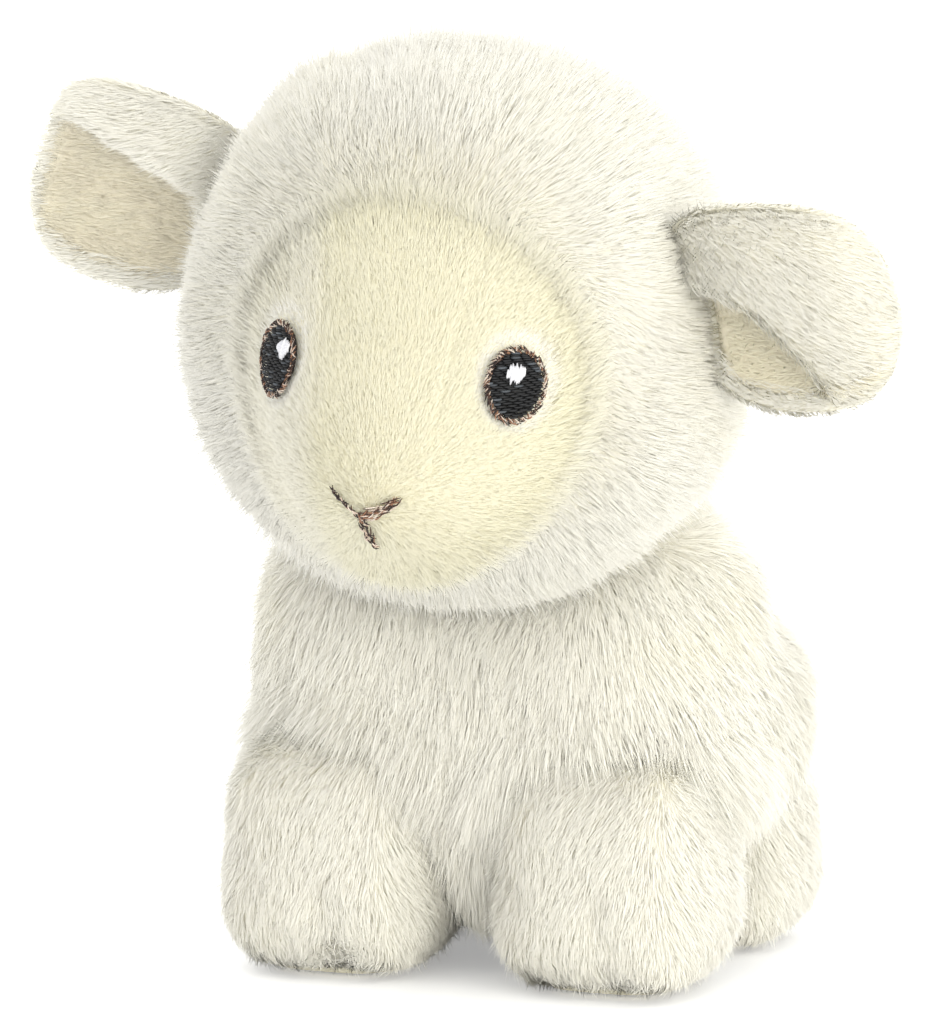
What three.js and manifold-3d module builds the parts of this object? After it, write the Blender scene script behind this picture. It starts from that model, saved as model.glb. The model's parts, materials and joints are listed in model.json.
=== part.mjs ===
// A small stuffed lamb that stands on four stubby legs. It faces -Y, +Z is up and its own left is +X.
// The head, body, legs, ears and tail are sewn covers round loose filling, joined at soft seams.
// Every cover is drawn at the middle of its pile, so its wall is cloth and pile together.

import * as THREE from 'three';
import { mergeVertices } from 'three/addons/utils/BufferGeometryUtils.js';
import Module from 'manifold-3d';

const wasm = await Module();
wasm.setup();

// Clearances, in millimetres
const gap = 0.3;
const coarseClearance = 0.9;
const cutOverrun = 30;

// Cloth with its pile
const woolWall = 3.2;
const faceWall = 1.8;
const pouchWall = 1.2;

// Head: a ball of wool, with a shorter-piled face set into its front
const headRadius = 38.2;
const headRise = 53.6;
const headForward = 10;
const headRollAngle = 4;
const headAsideAngle = 2.7;
const faceHalfWidth = 28.8;
const faceDepth = 29.2;
const faceHalfHeight = 34;
const muzzleRise = 9.5;
const muzzleDropAngle = 34;
const muzzleSpreadAngle = 32;
const faceSideAngle = 55;
const faceUpAngle = 49;
const faceDropAngle = 10;
const faceEdgeStartShare = 0.9;
const faceEdgeEndShare = 1.28;

// Embroidery on the face
const threadHeight = 0.7;
const eyeSideAngle = 31.8;
const eyeDropAngle = 6.1;
const eyeHalfWidth = 4.7;
const eyeHalfHeight = 5.3;
const eyeRingWidth = 1;
const highlightHalfWidth = 1.4;
const highlightHalfHeight = 1.5;
const highlightInset = 0.9;
const highlightRise = 1.5;
const noseDropAngle = 34;
const mouthThread = 0.9;
const mouthArmReach = 4.6;
const mouthArmRise = 3.4;
const mouthStemLength = 4.2;

// Neck: where the head's ball sits in the hollow of the shoulders
const neckLeanAngle = 28;
const neckHoleRadius = 11;
const socketClearance = 0.9;
const neckSeamThread = 1;
const neckPlugLength = 7;
const headTurnAngle = 20;
const headNodAngle = 8;

// Body
const bodyHalfWidth = 36.9;
const bodyChestLength = 28;
const bodyRumpLength = 32.5;
const bodyRise = 32;
const bodyDrop = 28;
const bodyHeight = 38;
const bodyBack = 17;
const bodyPower = 3;
const bodyHaunchSwellShare = 0.02;
const backSlopeShare = 0.18;
const backSlopeLowShare = -0.02;
const backSlopeHighShare = 0.32;
const backSlopeFrontShare = -0.3;
const backSlopeRearShare = 0.4;

// Filling
const pouchHalfWidth = 22;
const pouchHalfLength = 24;
const pouchHalfHeight = 13;
const pouchSink = 8;
const pouchMouthRadius = 4;
const pelletLevelDrop = 2.5;

// Legs
const legSpread = 20;
const legHalfWidth = 15.8;
const legPower = 3.2;
const legTaperShare = 0.07;
const soleThickness = 1.6;
const soleCutDepth = 0.5;
const legSwingAngle = 8;
const frontLeg = { y: -2, halfLength: 15.5, topDrop: 3, pivotDrop: 16, pivotBack: 3 };
const hindLeg = { y: 33.5, halfLength: 15, topDrop: 8, pivotDrop: 18, pivotBack: 0 };

// Ears
const earLength = 24.3;
const earHalfWidth = 15.4;
const earHalfThickness = 3.1;
const earFlapCurl = 9;
const earLipCurl = 4.5;
const earTipPower = 3.2;
const earRootHeightAngles = { left: 13, right: 20.5 };
const earRiseAngles = { left: 7, right: 15 };
const earSweepAngle = 15;
const earTurnDownAngle = 24;
const earBaseShare = 0.86;
const earSink = 6;
const liningInset = 2.6;
const liningHalfThickness = 1.3;
const earForwardAngle = 25;
const earBackAngle = 15;

// Tail
const tailHalfWidth = 6;
const tailHalfThickness = 5;
const tailHalfLength = 10.5;
const tailRise = 7;
const tailLeanAngle = 26;
const tailWagAngle = 18;

// Closing seam under the belly
const seamThread = 0.8;
const seamLength = 26;
const seamStitches = 9;
const seamWidth = 1.6;

// Facets: how many flats go round and along each form
const headFacets = { around: 28, along: 20 };
const bodyFacets = { around: 26, along: 18 };
const cuttingFacets = { around: 24, along: 16 };
const limbFacets = { around: 16, along: 12 };
const innerFacets = { around: 14, along: 10 };
const coneFacets = 28;
const holeFacets = 18;
const threadFacets = 5;

const radians = THREE.MathUtils.degToRad;
const up = new THREE.Vector3(0, 0, 1);
const sideways = new THREE.Vector3(1, 0, 0);
const sides = { left: 1, right: -1 };

const colours = {
  wool: { color: '#f3efe0', roughness: 0.95 },
  face: { color: '#f3ebcf', roughness: 0.92 },
  lining: { color: '#dcd2bd', roughness: 0.95 },
  filling: { color: '#f6f5f0', roughness: 1 },
  pellets: { color: '#e9e9e4', roughness: 0.5 },
  blackThread: { color: '#15151a', roughness: 0.45 },
  brownThread: { color: '#6b4634', roughness: 0.5 },
  whiteThread: { color: '#f7f6f2', roughness: 0.45 },
};

const lamb = new THREE.Group();

// Solids

function toSolid(geometry, matrix = new THREE.Matrix4()) {
  const placed = geometry.clone().applyMatrix4(matrix);
  placed.deleteAttribute('normal');
  placed.deleteAttribute('uv');
  const merged = mergeVertices(placed);
  return new wasm.Manifold(new wasm.Mesh({
    numProp: 3,
    vertProperties: new Float32Array(merged.attributes.position.array),
    triVerts: new Uint32Array(merged.index.array),
  }));
}

function toGeometry(solid) {
  const mesh = solid.getMesh();
  const geometry = new THREE.BufferGeometry();
  geometry.setAttribute('position', new THREE.BufferAttribute(mesh.vertProperties, mesh.numProp));
  geometry.setIndex(new THREE.BufferAttribute(mesh.triVerts, 1));
  return geometry;
}

function cut(solid, ...cutters) {
  return cutters.reduce((left, cutter) => left.subtract(cutter), solid);
}

function addPiece(name, finish, solid) {
  const mesh = new THREE.Mesh(toGeometry(solid), new THREE.MeshStandardMaterial({ metalness: 0, ...colours[finish] }));
  mesh.name = name;
  lamb.add(mesh);
}

// A closed form round its own centre, whose surface lies at radiusAt(direction) plus the growth
function starSolid(radiusAt, growth, facets, matrix) {
  const geometry = new THREE.SphereGeometry(1, facets.around, facets.along);
  geometry.rotateX(Math.PI / 2);
  const points = geometry.attributes.position;
  const direction = new THREE.Vector3();
  for (let i = 0; i < points.count; i += 1) {
    direction.fromBufferAttribute(points, i).normalize();
    direction.multiplyScalar(radiusAt(direction) + growth);
    points.setXYZ(i, direction.x, direction.y, direction.z);
  }
  return toSolid(geometry, matrix);
}

function plumpRadius(direction, half, power) {
  const sum = ['x', 'y', 'z'].reduce((total, axis) => (
    total + (Math.abs(direction[axis]) / half[axis]) ** power
  ), 0);
  return sum ** (-1 / power);
}

function cylinderAlong(direction, centre, halfWidth, halfHeight, reach, rollAngle = 0) {
  const geometry = new THREE.CylinderGeometry(1, 1, 1, holeFacets);
  geometry.scale(halfWidth, reach, halfHeight);
  geometry.rotateY(rollAngle);
  const frame = new THREE.Matrix4().lookAt(new THREE.Vector3(), direction, up);
  const place = new THREE.Matrix4().setPosition(centre)
    .multiply(frame)
    .multiply(new THREE.Matrix4().makeRotationX(Math.PI / 2));
  return toSolid(geometry, place);
}

function turnAbout(point, axis, angle) {
  const turn = new THREE.Matrix4().makeRotationAxis(axis, radians(angle));
  return new THREE.Matrix4().setPosition(point)
    .multiply(turn)
    .multiply(new THREE.Matrix4().makeTranslation(-point.x, -point.y, -point.z));
}

// Head

const headCentre = new THREE.Vector3(0, -headForward, bodyHeight + headRise);
const headPlace = new THREE.Matrix4().setPosition(headCentre)
  .multiply(new THREE.Matrix4().makeRotationZ(radians(headAsideAngle)))
  .multiply(new THREE.Matrix4().makeRotationY(radians(headRollAngle)));

function faceDirection(sideAngle, riseAngle) {
  const side = radians(sideAngle);
  const rise = radians(riseAngle);
  return new THREE.Vector3(
    Math.sin(side) * Math.cos(rise),
    -Math.cos(side) * Math.cos(rise),
    Math.sin(rise),
  );
}

const muzzleDirection = faceDirection(0, -muzzleDropAngle);

function faceShare(direction) {
  const side = Math.atan2(direction.x, -direction.y);
  const rise = Math.asin(THREE.MathUtils.clamp(direction.z, -1, 1));
  return Math.hypot(side / radians(faceSideAngle), (rise + radians(faceDropAngle)) / radians(faceUpAngle));
}

function headSurface(direction) {
  const half = { x: faceHalfWidth, y: faceDepth, z: faceHalfHeight };
  const fromMuzzle = direction.angleTo(muzzleDirection) / radians(muzzleSpreadAngle);
  const face = plumpRadius(direction, half, 2) + muzzleRise * Math.exp(-(fromMuzzle ** 2));
  const wool = THREE.MathUtils.smoothstep(faceShare(direction), faceEdgeStartShare, faceEdgeEndShare);
  return THREE.MathUtils.lerp(face, Math.max(headRadius, face), wool);
}

function headForm(growth, facets = headFacets) {
  return starSolid(headSurface, growth, facets, headPlace);
}

// A cone from the head's centre out through the face's edge, narrowed all round by a clearance
function faceCone(clearance) {
  const narrow = clearance / faceDepth;
  const geometry = new THREE.ConeGeometry(1, 1, coneFacets, 1);
  const points = geometry.attributes.position;
  for (let i = 0; i < points.count; i += 1) {
    const onAxis = Math.hypot(points.getX(i), points.getZ(i)) < 1 / 2;
    if (onAxis) {
      const tip = points.getY(i) > 0 ? 0 : headRadius + cutOverrun;
      const middle = faceDirection(0, -faceDropAngle).multiplyScalar(tip);
      points.setXYZ(i, middle.x, middle.y, middle.z);
    } else {
      const turn = Math.atan2(points.getZ(i), points.getX(i));
      const side = (faceSideAngle - THREE.MathUtils.radToDeg(narrow)) * Math.cos(turn);
      const rise = (faceUpAngle - THREE.MathUtils.radToDeg(narrow)) * Math.sin(turn) - faceDropAngle;
      const edge = faceDirection(side, rise).multiplyScalar(headRadius + cutOverrun);
      points.setXYZ(i, edge.x, edge.y, edge.z);
    }
  }
  return toSolid(geometry, headPlace);
}

const neckDirection = new THREE.Vector3(0, Math.sin(radians(neckLeanAngle)), -Math.cos(radians(neckLeanAngle)));

function neckHole(radius) {
  const reach = headRadius + cutOverrun;
  const centre = headCentre.clone().addScaledVector(neckDirection, reach / 2);
  return cylinderAlong(neckDirection, centre, radius, radius, reach);
}

function makeHead() {
  const shell = cut(headForm(0), headForm(-woolWall, cuttingFacets), neckHole(neckHoleRadius));
  addPiece('head_cover', 'wool', cut(shell, faceCone(0)));
  const panel = cut(headForm(0), headForm(-faceWall)).intersect(faceCone(gap));
  addPiece('face_panel', 'face', panel);
  addPiece('head_stuffing', 'filling', headForm(-woolWall - 2 * gap, cuttingFacets));
}

// Embroidery on the face

function facePlace(direction, rise) {
  return direction.clone().multiplyScalar(headSurface(direction) + rise).applyMatrix4(headPlace);
}

function makeEye(side, threads) {
  const direction = faceDirection(sides[side] * eyeSideAngle, -eyeDropAngle);
  const outward = direction.clone().transformDirection(headPlace);
  const centre = facePlace(direction, 0);
  const oval = (inset) => cylinderAlong(
    outward, centre, eyeHalfWidth - inset, eyeHalfHeight - inset, 2 * eyeHalfHeight, radians(headRollAngle),
  );
  const lightPlace = centre.clone()
    .addScaledVector(up, highlightRise)
    .addScaledVector(sideways, -sides[side] * highlightInset);
  const light = (clearance) => cylinderAlong(
    outward, lightPlace, highlightHalfWidth + clearance, highlightHalfHeight + clearance, 2 * eyeHalfHeight,
  );
  addPiece(`eye_${side}_ring`, 'brownThread', threads.intersect(cut(oval(0), oval(eyeRingWidth))));
  addPiece(`eye_${side}_pupil`, 'blackThread', threads.intersect(cut(oval(eyeRingWidth + gap), light(gap))));
  addPiece(`eye_${side}_highlight`, 'whiteThread', threads.intersect(light(0)));
}

function threadTube(points, thread) {
  const curve = new THREE.CatmullRomCurve3(points);
  const section = new THREE.Shape(new THREE.EllipseCurve(0, 0, thread / 2, thread / 2).getPoints(threadFacets));
  return toSolid(new THREE.ExtrudeGeometry(section, {
    steps: points.length - 1, bevelEnabled: false, extrudePath: curve,
  }));
}

// Three arms of thread laid on the muzzle from one knot: two rise to the sides and one hangs down
function makeMouth() {
  const perMillimetre = THREE.MathUtils.radToDeg(1 / headRadius);
  const arms = [
    { side: mouthArmReach, rise: mouthArmRise },
    { side: -mouthArmReach, rise: mouthArmRise },
    { side: 0, rise: -mouthStemLength },
  ];
  const tubes = arms.map((arm) => threadTube([0, 1 / 3, 2 / 3, 1].map((share) => facePlace(
    faceDirection(arm.side * share * perMillimetre, arm.rise * share * perMillimetre - noseDropAngle),
    gap + mouthThread / 2,
  )), mouthThread));
  addPiece('mouth_stitching', 'brownThread', tubes[0].add(tubes[1]).add(tubes[2]));
}

// Body

const bodyCentre = new THREE.Vector3(0, bodyBack, bodyHeight);

function halfTowards(direction, half) {
  return {
    x: half.x,
    y: direction.y < 0 ? half.front : half.back,
    z: direction.z < 0 ? half.down : half.up,
  };
}

// The back narrows over the haunches and slopes down to the tail
function bodySurface(direction) {
  const half = { x: bodyHalfWidth, front: bodyChestLength, back: bodyRumpLength, up: bodyRise, down: bodyDrop };
  const high = THREE.MathUtils.smoothstep(direction.z, backSlopeLowShare, backSlopeHighShare);
  const rear = THREE.MathUtils.smoothstep(direction.y, backSlopeFrontShare, backSlopeRearShare);
  const swell = (1 + bodyHaunchSwellShare * direction.y) * (1 - backSlopeShare * high * rear);
  return plumpRadius(direction, halfTowards(direction, half), bodyPower) * swell;
}

function bodyForm(growth, facets = bodyFacets, matrix = new THREE.Matrix4()) {
  const place = matrix.clone().multiply(new THREE.Matrix4().setPosition(bodyCentre));
  return starSolid(bodySurface, growth, facets, place);
}

function ballRoundHead(clearance, facets = cuttingFacets) {
  return starSolid(() => headRadius, clearance, facets, headPlace);
}

function pouchForm(growth) {
  const half = { x: pouchHalfWidth, y: pouchHalfLength, z: pouchHalfHeight };
  const floor = bodyHeight - bodyDrop + woolWall;
  const centre = new THREE.Vector3(0, bodyBack, floor + pouchHalfHeight - pouchSink);
  return starSolid((direction) => plumpRadius(direction, half, 2), growth, innerFacets,
    new THREE.Matrix4().setPosition(centre));
}

function below(height) {
  const reach = 2 * (headCentre.z + headRadius);
  const slab = new THREE.BoxGeometry(reach, reach, reach);
  return toSolid(slab, new THREE.Matrix4().makeTranslation(0, 0, height - reach / 2));
}

function makeBody() {
  const outside = cut(bodyForm(0), ballRoundHead(socketClearance));
  const inside = cut(bodyForm(-woolWall, innerFacets), ballRoundHead(socketClearance + woolWall));
  addPiece('body_cover', 'wool', cut(outside, inside, neckHole(neckHoleRadius + 2 * neckSeamThread)));

  const linedGrowth = -woolWall - 2 * gap;
  const plugHole = neckHole(neckHoleRadius + gap).intersect(ballRoundHead(socketClearance + neckPlugLength + gap));
  const filling = cut(bodyForm(linedGrowth, innerFacets), ballRoundHead(socketClearance + woolWall + gap));
  addPiece('body_stuffing', 'filling', cut(filling, pouchForm(gap), plugHole));

  const pouchTop = bodyHeight - bodyDrop + woolWall + 2 * pouchHalfHeight - pouchSink;
  const mouth = cylinderAlong(up, new THREE.Vector3(0, bodyBack, pouchTop), pouchMouthRadius, pouchMouthRadius,
    pouchHalfHeight);
  const pouch = bodyForm(linedGrowth, innerFacets).intersect(pouchForm(0));
  const hollow = bodyForm(linedGrowth - pouchWall, innerFacets).intersect(pouchForm(-pouchWall));
  addPiece('pellet_pouch', 'filling', cut(pouch, hollow, mouth));
  const pellets = bodyForm(linedGrowth - pouchWall - gap, innerFacets).intersect(pouchForm(-pouchWall - gap));
  addPiece('pellet_fill', 'pellets', pellets.intersect(below(pouchTop - pouchWall - pelletLevelDrop)));
}

// Neck

function makeNeck() {
  const plug = cut(ballRoundHead(socketClearance + neckPlugLength), ballRoundHead(socketClearance));
  addPiece('neck_stuffing', 'filling', plug.intersect(neckHole(neckHoleRadius)));

  const ringRadius = neckHoleRadius + neckSeamThread;
  const ring = new THREE.TorusGeometry(ringRadius, neckSeamThread / 2, threadFacets, holeFacets);
  const along = Math.sqrt((headRadius + socketClearance + neckSeamThread) ** 2 - ringRadius ** 2);
  const frame = new THREE.Matrix4().lookAt(new THREE.Vector3(), neckDirection, up);
  const centre = headCentre.clone().addScaledVector(neckDirection, along);
  addPiece('neck_seam', 'whiteThread', toSolid(ring, new THREE.Matrix4().setPosition(centre).multiply(frame)));
}

// The hand-sewn seam under the belly, its thread crossing from side to side
function makeClosingSeam() {
  const half = { x: bodyHalfWidth, y: bodyRumpLength };
  const points = Array.from({ length: 2 * seamStitches + 1 }, (_, i) => {
    const x = (i % 2 ? 1 : -1) * (seamWidth / 2);
    const y = seamLength * (i / (2 * seamStitches) - 1 / 2);
    const rest = 1 - Math.abs(x / half.x) ** bodyPower - Math.abs(y / half.y) ** bodyPower;
    const z = bodyHeight - bodyDrop * rest ** (1 / bodyPower) - gap - seamThread / 2;
    return new THREE.Vector3(x, bodyBack + y, z);
  });
  addPiece('closing_seam', 'whiteThread', threadTube(points, seamThread));
}

// Legs

function legForm(side, leg, walls, facets) {
  const top = bodyHeight - leg.topDrop;
  const middle = (top - soleCutDepth) / 2;
  const half = {
    x: legHalfWidth - walls.around,
    y: leg.halfLength - walls.around,
    up: top - middle - walls.top,
    down: middle + soleCutDepth - walls.bottom,
  };
  const surface = (direction) => {
    const taper = 1 - legTaperShare * direction.z;
    const towards = { x: half.x * taper, y: half.y * taper, z: direction.z < 0 ? half.down : half.up };
    return plumpRadius(direction, towards, legPower);
  };
  const centre = new THREE.Vector3(sides[side] * legSpread, leg.y, middle);
  return starSolid(surface, 0, facets, new THREE.Matrix4().setPosition(centre));
}

function legPivot(side, leg) {
  return new THREE.Vector3(sides[side] * legSpread, leg.y + leg.pivotBack, bodyHeight - leg.pivotDrop);
}

function makeLeg(end, side, leg) {
  const name = `leg_${end}_${side}`;
  const pivot = legPivot(side, leg);
  const bodyAround = [0, legSwingAngle, -legSwingAngle].map((angle) => (
    bodyForm(coarseClearance, cuttingFacets, turnAbout(pivot, sideways, angle))
  ));
  const even = (wall) => ({ around: wall, top: wall, bottom: wall });
  const open = (wall) => ({ around: wall, top: wall, bottom: -woolWall });
  const outside = legForm(side, leg, even(0), limbFacets);
  const sleeve = cut(outside, legForm(side, leg, open(woolWall), limbFacets), below(soleThickness + gap));
  addPiece(`${name}_cover`, 'wool', cut(sleeve, ...bodyAround));
  const filling = cut(legForm(side, leg, open(woolWall + 2 * gap), innerFacets), below(soleThickness + gap));
  addPiece(`${name}_stuffing`, 'filling', cut(filling, ...bodyAround));
  addPiece(`${name}_sole`, 'face', cut(outside, below(0)).intersect(below(soleThickness)));
}

// Ears

function earFrame(side) {
  const sign = sides[side];
  const rootHeight = radians(earRootHeightAngles[side]);
  const root = new THREE.Vector3(sign * Math.cos(rootHeight), 0, Math.sin(rootHeight))
    .multiplyScalar(headRadius + gap);
  const rise = radians(earRiseAngles[side]);
  const sweep = radians(earSweepAngle);
  const along = new THREE.Vector3(
    sign * Math.cos(rise) * Math.cos(sweep), -Math.cos(rise) * Math.sin(sweep), Math.sin(rise),
  );
  const forward = new THREE.Vector3(-sign * Math.sin(sweep), -Math.cos(sweep), 0)
    .applyAxisAngle(along, sign * radians(earTurnDownAngle));
  const across = new THREE.Vector3().crossVectors(forward, along).multiplyScalar(sign);
  return { root, along, forward, across };
}

// A blunt leaf, cupped towards the front and down. Its upper flap curls over more than its lower lip,
// and its layer starts at a height over the leaf's middle surface
function earForm(side, halfWidth, length, heightAt, facets) {
  const { root, along, forward, across } = earFrame(side);
  const geometry = new THREE.SphereGeometry(1, facets.around, facets.along);
  geometry.rotateZ(-Math.PI / 2);
  const points = geometry.attributes.position;
  for (let i = 0; i < points.count; i += 1) {
    const reach = points.getX(i);
    const turn = Math.atan2(points.getZ(i), sides[side] * points.getY(i));
    const blunt = Math.max(0, 1 - Math.abs(reach) ** earTipPower) ** (1 / earTipPower);
    const base = THREE.MathUtils.lerp(earBaseShare, 1, THREE.MathUtils.smoothstep(reach, -1, 0));
    const span = halfWidth * blunt * base * Math.cos(turn);
    const curl = (span > 0 ? earFlapCurl : earLipCurl) * (span / earHalfWidth) ** 2;
    const point = root.clone()
      .addScaledVector(along, ((reach + 1) / 2) * (length + earSink) - earSink)
      .addScaledVector(across, span)
      .addScaledVector(forward, curl + heightAt(blunt, Math.sin(turn), span));
    points.setXYZ(i, point.x, point.y, point.z);
  }
  return toSolid(geometry, headPlace);
}

function earBack(side, growth) {
  return earForm(side, earHalfWidth + growth, earLength + growth, (blunt, turn) => (
    (earHalfThickness + growth) * blunt * turn
  ), limbFacets);
}

function earLining(side) {
  const halfWidth = earHalfWidth - liningInset;
  return earForm(side, halfWidth, earLength - liningInset, (blunt, turn, span) => {
    const backFace = earHalfThickness * Math.sqrt(Math.max(0, 1 - (span / earHalfWidth) ** 2));
    return backFace + liningHalfThickness * blunt * turn;
  }, limbFacets);
}

function makeEar(side) {
  const { root, across } = earFrame(side);
  const hinge = root.clone().applyMatrix4(headPlace);
  const axis = across.clone().transformDirection(headPlace);
  const headAround = [0, -earForwardAngle * sides[side], earBackAngle * sides[side]].map((angle) => {
    const turned = turnAbout(hinge, axis, -angle).multiply(headPlace);
    return starSolid(() => headRadius, coarseClearance, cuttingFacets, turned);
  });
  addPiece(`ear_${side}_back`, 'wool', cut(earBack(side, 0), ...headAround));
  addPiece(`ear_${side}_lining`, 'lining', cut(earLining(side), earBack(side, gap), ...headAround));
}

// Tail

const tailDirection = new THREE.Vector3(0, bodyRumpLength, tailRise).normalize();
const tailRoot = bodyCentre.clone().addScaledVector(tailDirection, bodySurface(tailDirection));

function makeTail() {
  const half = { x: tailHalfWidth, y: tailHalfThickness, z: tailHalfLength };
  const hang = new THREE.Matrix4().setPosition(tailRoot)
    .multiply(new THREE.Matrix4().makeRotationX(radians(tailLeanAngle)))
    .multiply(new THREE.Matrix4().makeTranslation(0, 0, -tailHalfLength / 2));
  const tail = starSolid((direction) => plumpRadius(direction, half, 2), 0, innerFacets, hang);
  const bodyAround = [0, tailWagAngle, -tailWagAngle].map((angle) => (
    bodyForm(coarseClearance, cuttingFacets, turnAbout(tailRoot, up, angle))
  ));
  addPiece('tail', 'wool', cut(tail, ...bodyAround));
}

makeBody();
makeNeck();
makeClosingSeam();
makeHead();
const threads = cut(headForm(gap + threadHeight), headForm(gap));
Object.keys(sides).forEach((side) => {
  makeEye(side, threads);
  makeEar(side);
  makeLeg('front', side, frontLeg);
  makeLeg('hind', side, hindLeg);
});
makeMouth();
makeTail();

// The origin is on the floor, under the middle of the whole toy
const extent = new THREE.Box3().setFromObject(lamb);
const origin = extent.getCenter(new THREE.Vector3()).setZ(0);
lamb.position.copy(origin).negate();

// Each joint's pivot and axis in the toy's own frame, and its limits in degrees from rest
function joint(pivot, axis, limits) {
  return { pivot: pivot.clone().sub(origin), axis, limits };
}

function earJoint(side) {
  const { root, across } = earFrame(side);
  const axis = across.transformDirection(headPlace).multiplyScalar(-sides[side]);
  return joint(root.applyMatrix4(headPlace), axis, [-earBackAngle, earForwardAngle]);
}

lamb.userData.joints = {
  head_turn: joint(headCentre, neckDirection.clone().negate(), [-headTurnAngle, headTurnAngle]),
  head_nod: joint(headCentre, sideways, [-headNodAngle, headNodAngle]),
  tail_wag: joint(tailRoot, up, [-tailWagAngle, tailWagAngle]),
};
Object.keys(sides).forEach((side) => {
  lamb.userData.joints[`ear_${side}_fold`] = earJoint(side);
  Object.entries({ front: frontLeg, hind: hindLeg }).forEach(([end, leg]) => {
    const swing = joint(legPivot(side, leg), sideways, [-legSwingAngle, legSwingAngle]);
    lamb.userData.joints[`leg_${end}_${side}_swing`] = swing;
  });
});

export default lamb;
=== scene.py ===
import json
import math

import bmesh
import bpy
import numpy as np
from bpy.props import FloatProperty, FloatVectorProperty, PointerProperty
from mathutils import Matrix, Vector
from mathutils.bvhtree import BVHTree

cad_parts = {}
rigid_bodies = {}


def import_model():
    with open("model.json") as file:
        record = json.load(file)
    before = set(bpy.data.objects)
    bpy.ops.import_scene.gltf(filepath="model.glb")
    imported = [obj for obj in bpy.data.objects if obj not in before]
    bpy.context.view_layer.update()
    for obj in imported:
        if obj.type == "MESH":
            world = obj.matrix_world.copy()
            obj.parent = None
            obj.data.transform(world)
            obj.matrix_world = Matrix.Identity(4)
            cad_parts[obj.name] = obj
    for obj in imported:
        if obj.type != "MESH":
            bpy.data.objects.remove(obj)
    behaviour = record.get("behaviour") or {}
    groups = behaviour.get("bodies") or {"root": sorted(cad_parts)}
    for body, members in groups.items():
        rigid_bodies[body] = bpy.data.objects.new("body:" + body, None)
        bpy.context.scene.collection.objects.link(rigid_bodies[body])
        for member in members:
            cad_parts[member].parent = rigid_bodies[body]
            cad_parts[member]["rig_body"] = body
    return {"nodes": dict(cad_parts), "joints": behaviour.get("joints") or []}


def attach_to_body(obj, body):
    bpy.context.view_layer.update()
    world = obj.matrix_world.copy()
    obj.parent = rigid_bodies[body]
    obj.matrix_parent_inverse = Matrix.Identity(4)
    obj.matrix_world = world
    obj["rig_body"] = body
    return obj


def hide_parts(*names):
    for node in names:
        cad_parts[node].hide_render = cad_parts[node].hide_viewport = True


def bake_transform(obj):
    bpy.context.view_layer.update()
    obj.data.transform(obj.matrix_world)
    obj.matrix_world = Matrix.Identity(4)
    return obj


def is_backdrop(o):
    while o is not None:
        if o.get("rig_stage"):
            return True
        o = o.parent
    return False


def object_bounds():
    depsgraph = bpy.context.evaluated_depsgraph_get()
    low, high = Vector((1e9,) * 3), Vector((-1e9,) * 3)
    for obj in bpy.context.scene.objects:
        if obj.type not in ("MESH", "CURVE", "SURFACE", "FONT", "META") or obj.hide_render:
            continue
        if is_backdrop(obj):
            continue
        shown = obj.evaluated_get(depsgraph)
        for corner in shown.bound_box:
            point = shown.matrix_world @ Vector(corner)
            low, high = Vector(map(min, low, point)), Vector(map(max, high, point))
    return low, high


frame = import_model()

bl_info = {
    "name": "Stuffed lamb",
    "version": (1, 0, 0),
    "blender": (4, 5, 0),
    "location": "View3D > Sidebar > Lamb",
    "description": "Dresses the sewn covers of a small stuffed lamb in wool pile, stitching and filling",
    "category": "Add Mesh",
}

CAD_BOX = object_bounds()

# All sizes below are in millimetres and degrees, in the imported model's frame
MM = 0.001
SEED = 7
SIDES = {"left": 1, "right": -1}


def joint_place(name):
    """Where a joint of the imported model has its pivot."""
    joint = next(j for j in frame["joints"] if j["name"] == name)
    return np.array(joint["pos_m"]) / MM


# Head
HEAD_CENTRE = joint_place("head_nod")
HEAD_RADIUS = 38.2
HEAD_ROLL = 4.0
HEAD_ASIDE = 2.7
FACE_HALF = np.array([28.8, 29.2, 34.0])
FACE_SIDE = 55.0
FACE_UP = 49.0
FACE_DROP = 10.0
FACE_EDGE = (0.9, 1.28)
MUZZLE_RISE = 9.5
MUZZLE_DROP = 34.0
MUZZLE_SPREAD = 32.0

# The strip between the eyes: its half width and how that grows upwards, and its seams
STRIP_HALF = 8.6
STRIP_WIDENS = 0.2
STRIP_SEAM_WIDTH = 0.55
STRIP_SEAM_DEPTH = 0.3
BACK_SEAM_HALF = 0.02

# Embroidery
EYE_SIDE = {"left": 32.9, "right": 31.8}
EYE_DROP = 6.1
EYE_HALF = (4.7, 5.3)
EYE_RING = 1.0
EYE_BARE = (0.86, 0.98)
EYE_HALO = (1.1, 1.4)
NOSE_DROP = 34.0
PUPIL_HALF = (EYE_HALF[0] - 0.85 * EYE_RING, EYE_HALF[1] - 1.1 * EYE_RING)
PUPIL_ROW = 0.3
PUPIL_STITCH = 1.5
PUPIL_SHORTEST = 0.4
# The share of the pupil's stitches that are light grey: painted glints on the black thread
PUPIL_GLINT_SHARE = 0.15
RING_STITCHES = 300
RING_INNER = (0.74, 0.86)
RING_OUTER = (0.88, 0.99)
HIGHLIGHT_INSET = {"left": 0.3, "right": 2.0}
HIGHLIGHT_RISE = 1.5
HIGHLIGHT_HALF = 1.25

# The stitches' thickness as a share of the thread's, how high over the skin their ends lie, and their bow
STITCHES = {
    "pupil": (0.85, 0.58, 0.2),
    "ring": (0.38, 0.45, 0.35),
    "highlight": (0.95, 0.95, 0.22),
    "mouth": (0.5, 0.42, 0.3),
}
STITCH_END = 0.35

# The four shades of the brown thread, and the share of a ring's stitches that has each
BROWN_SHADES = (0.04, 0.3, 0.62, 0.93)
RING_MIX = (0.44, 0.18, 0.14, 0.24)

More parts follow.
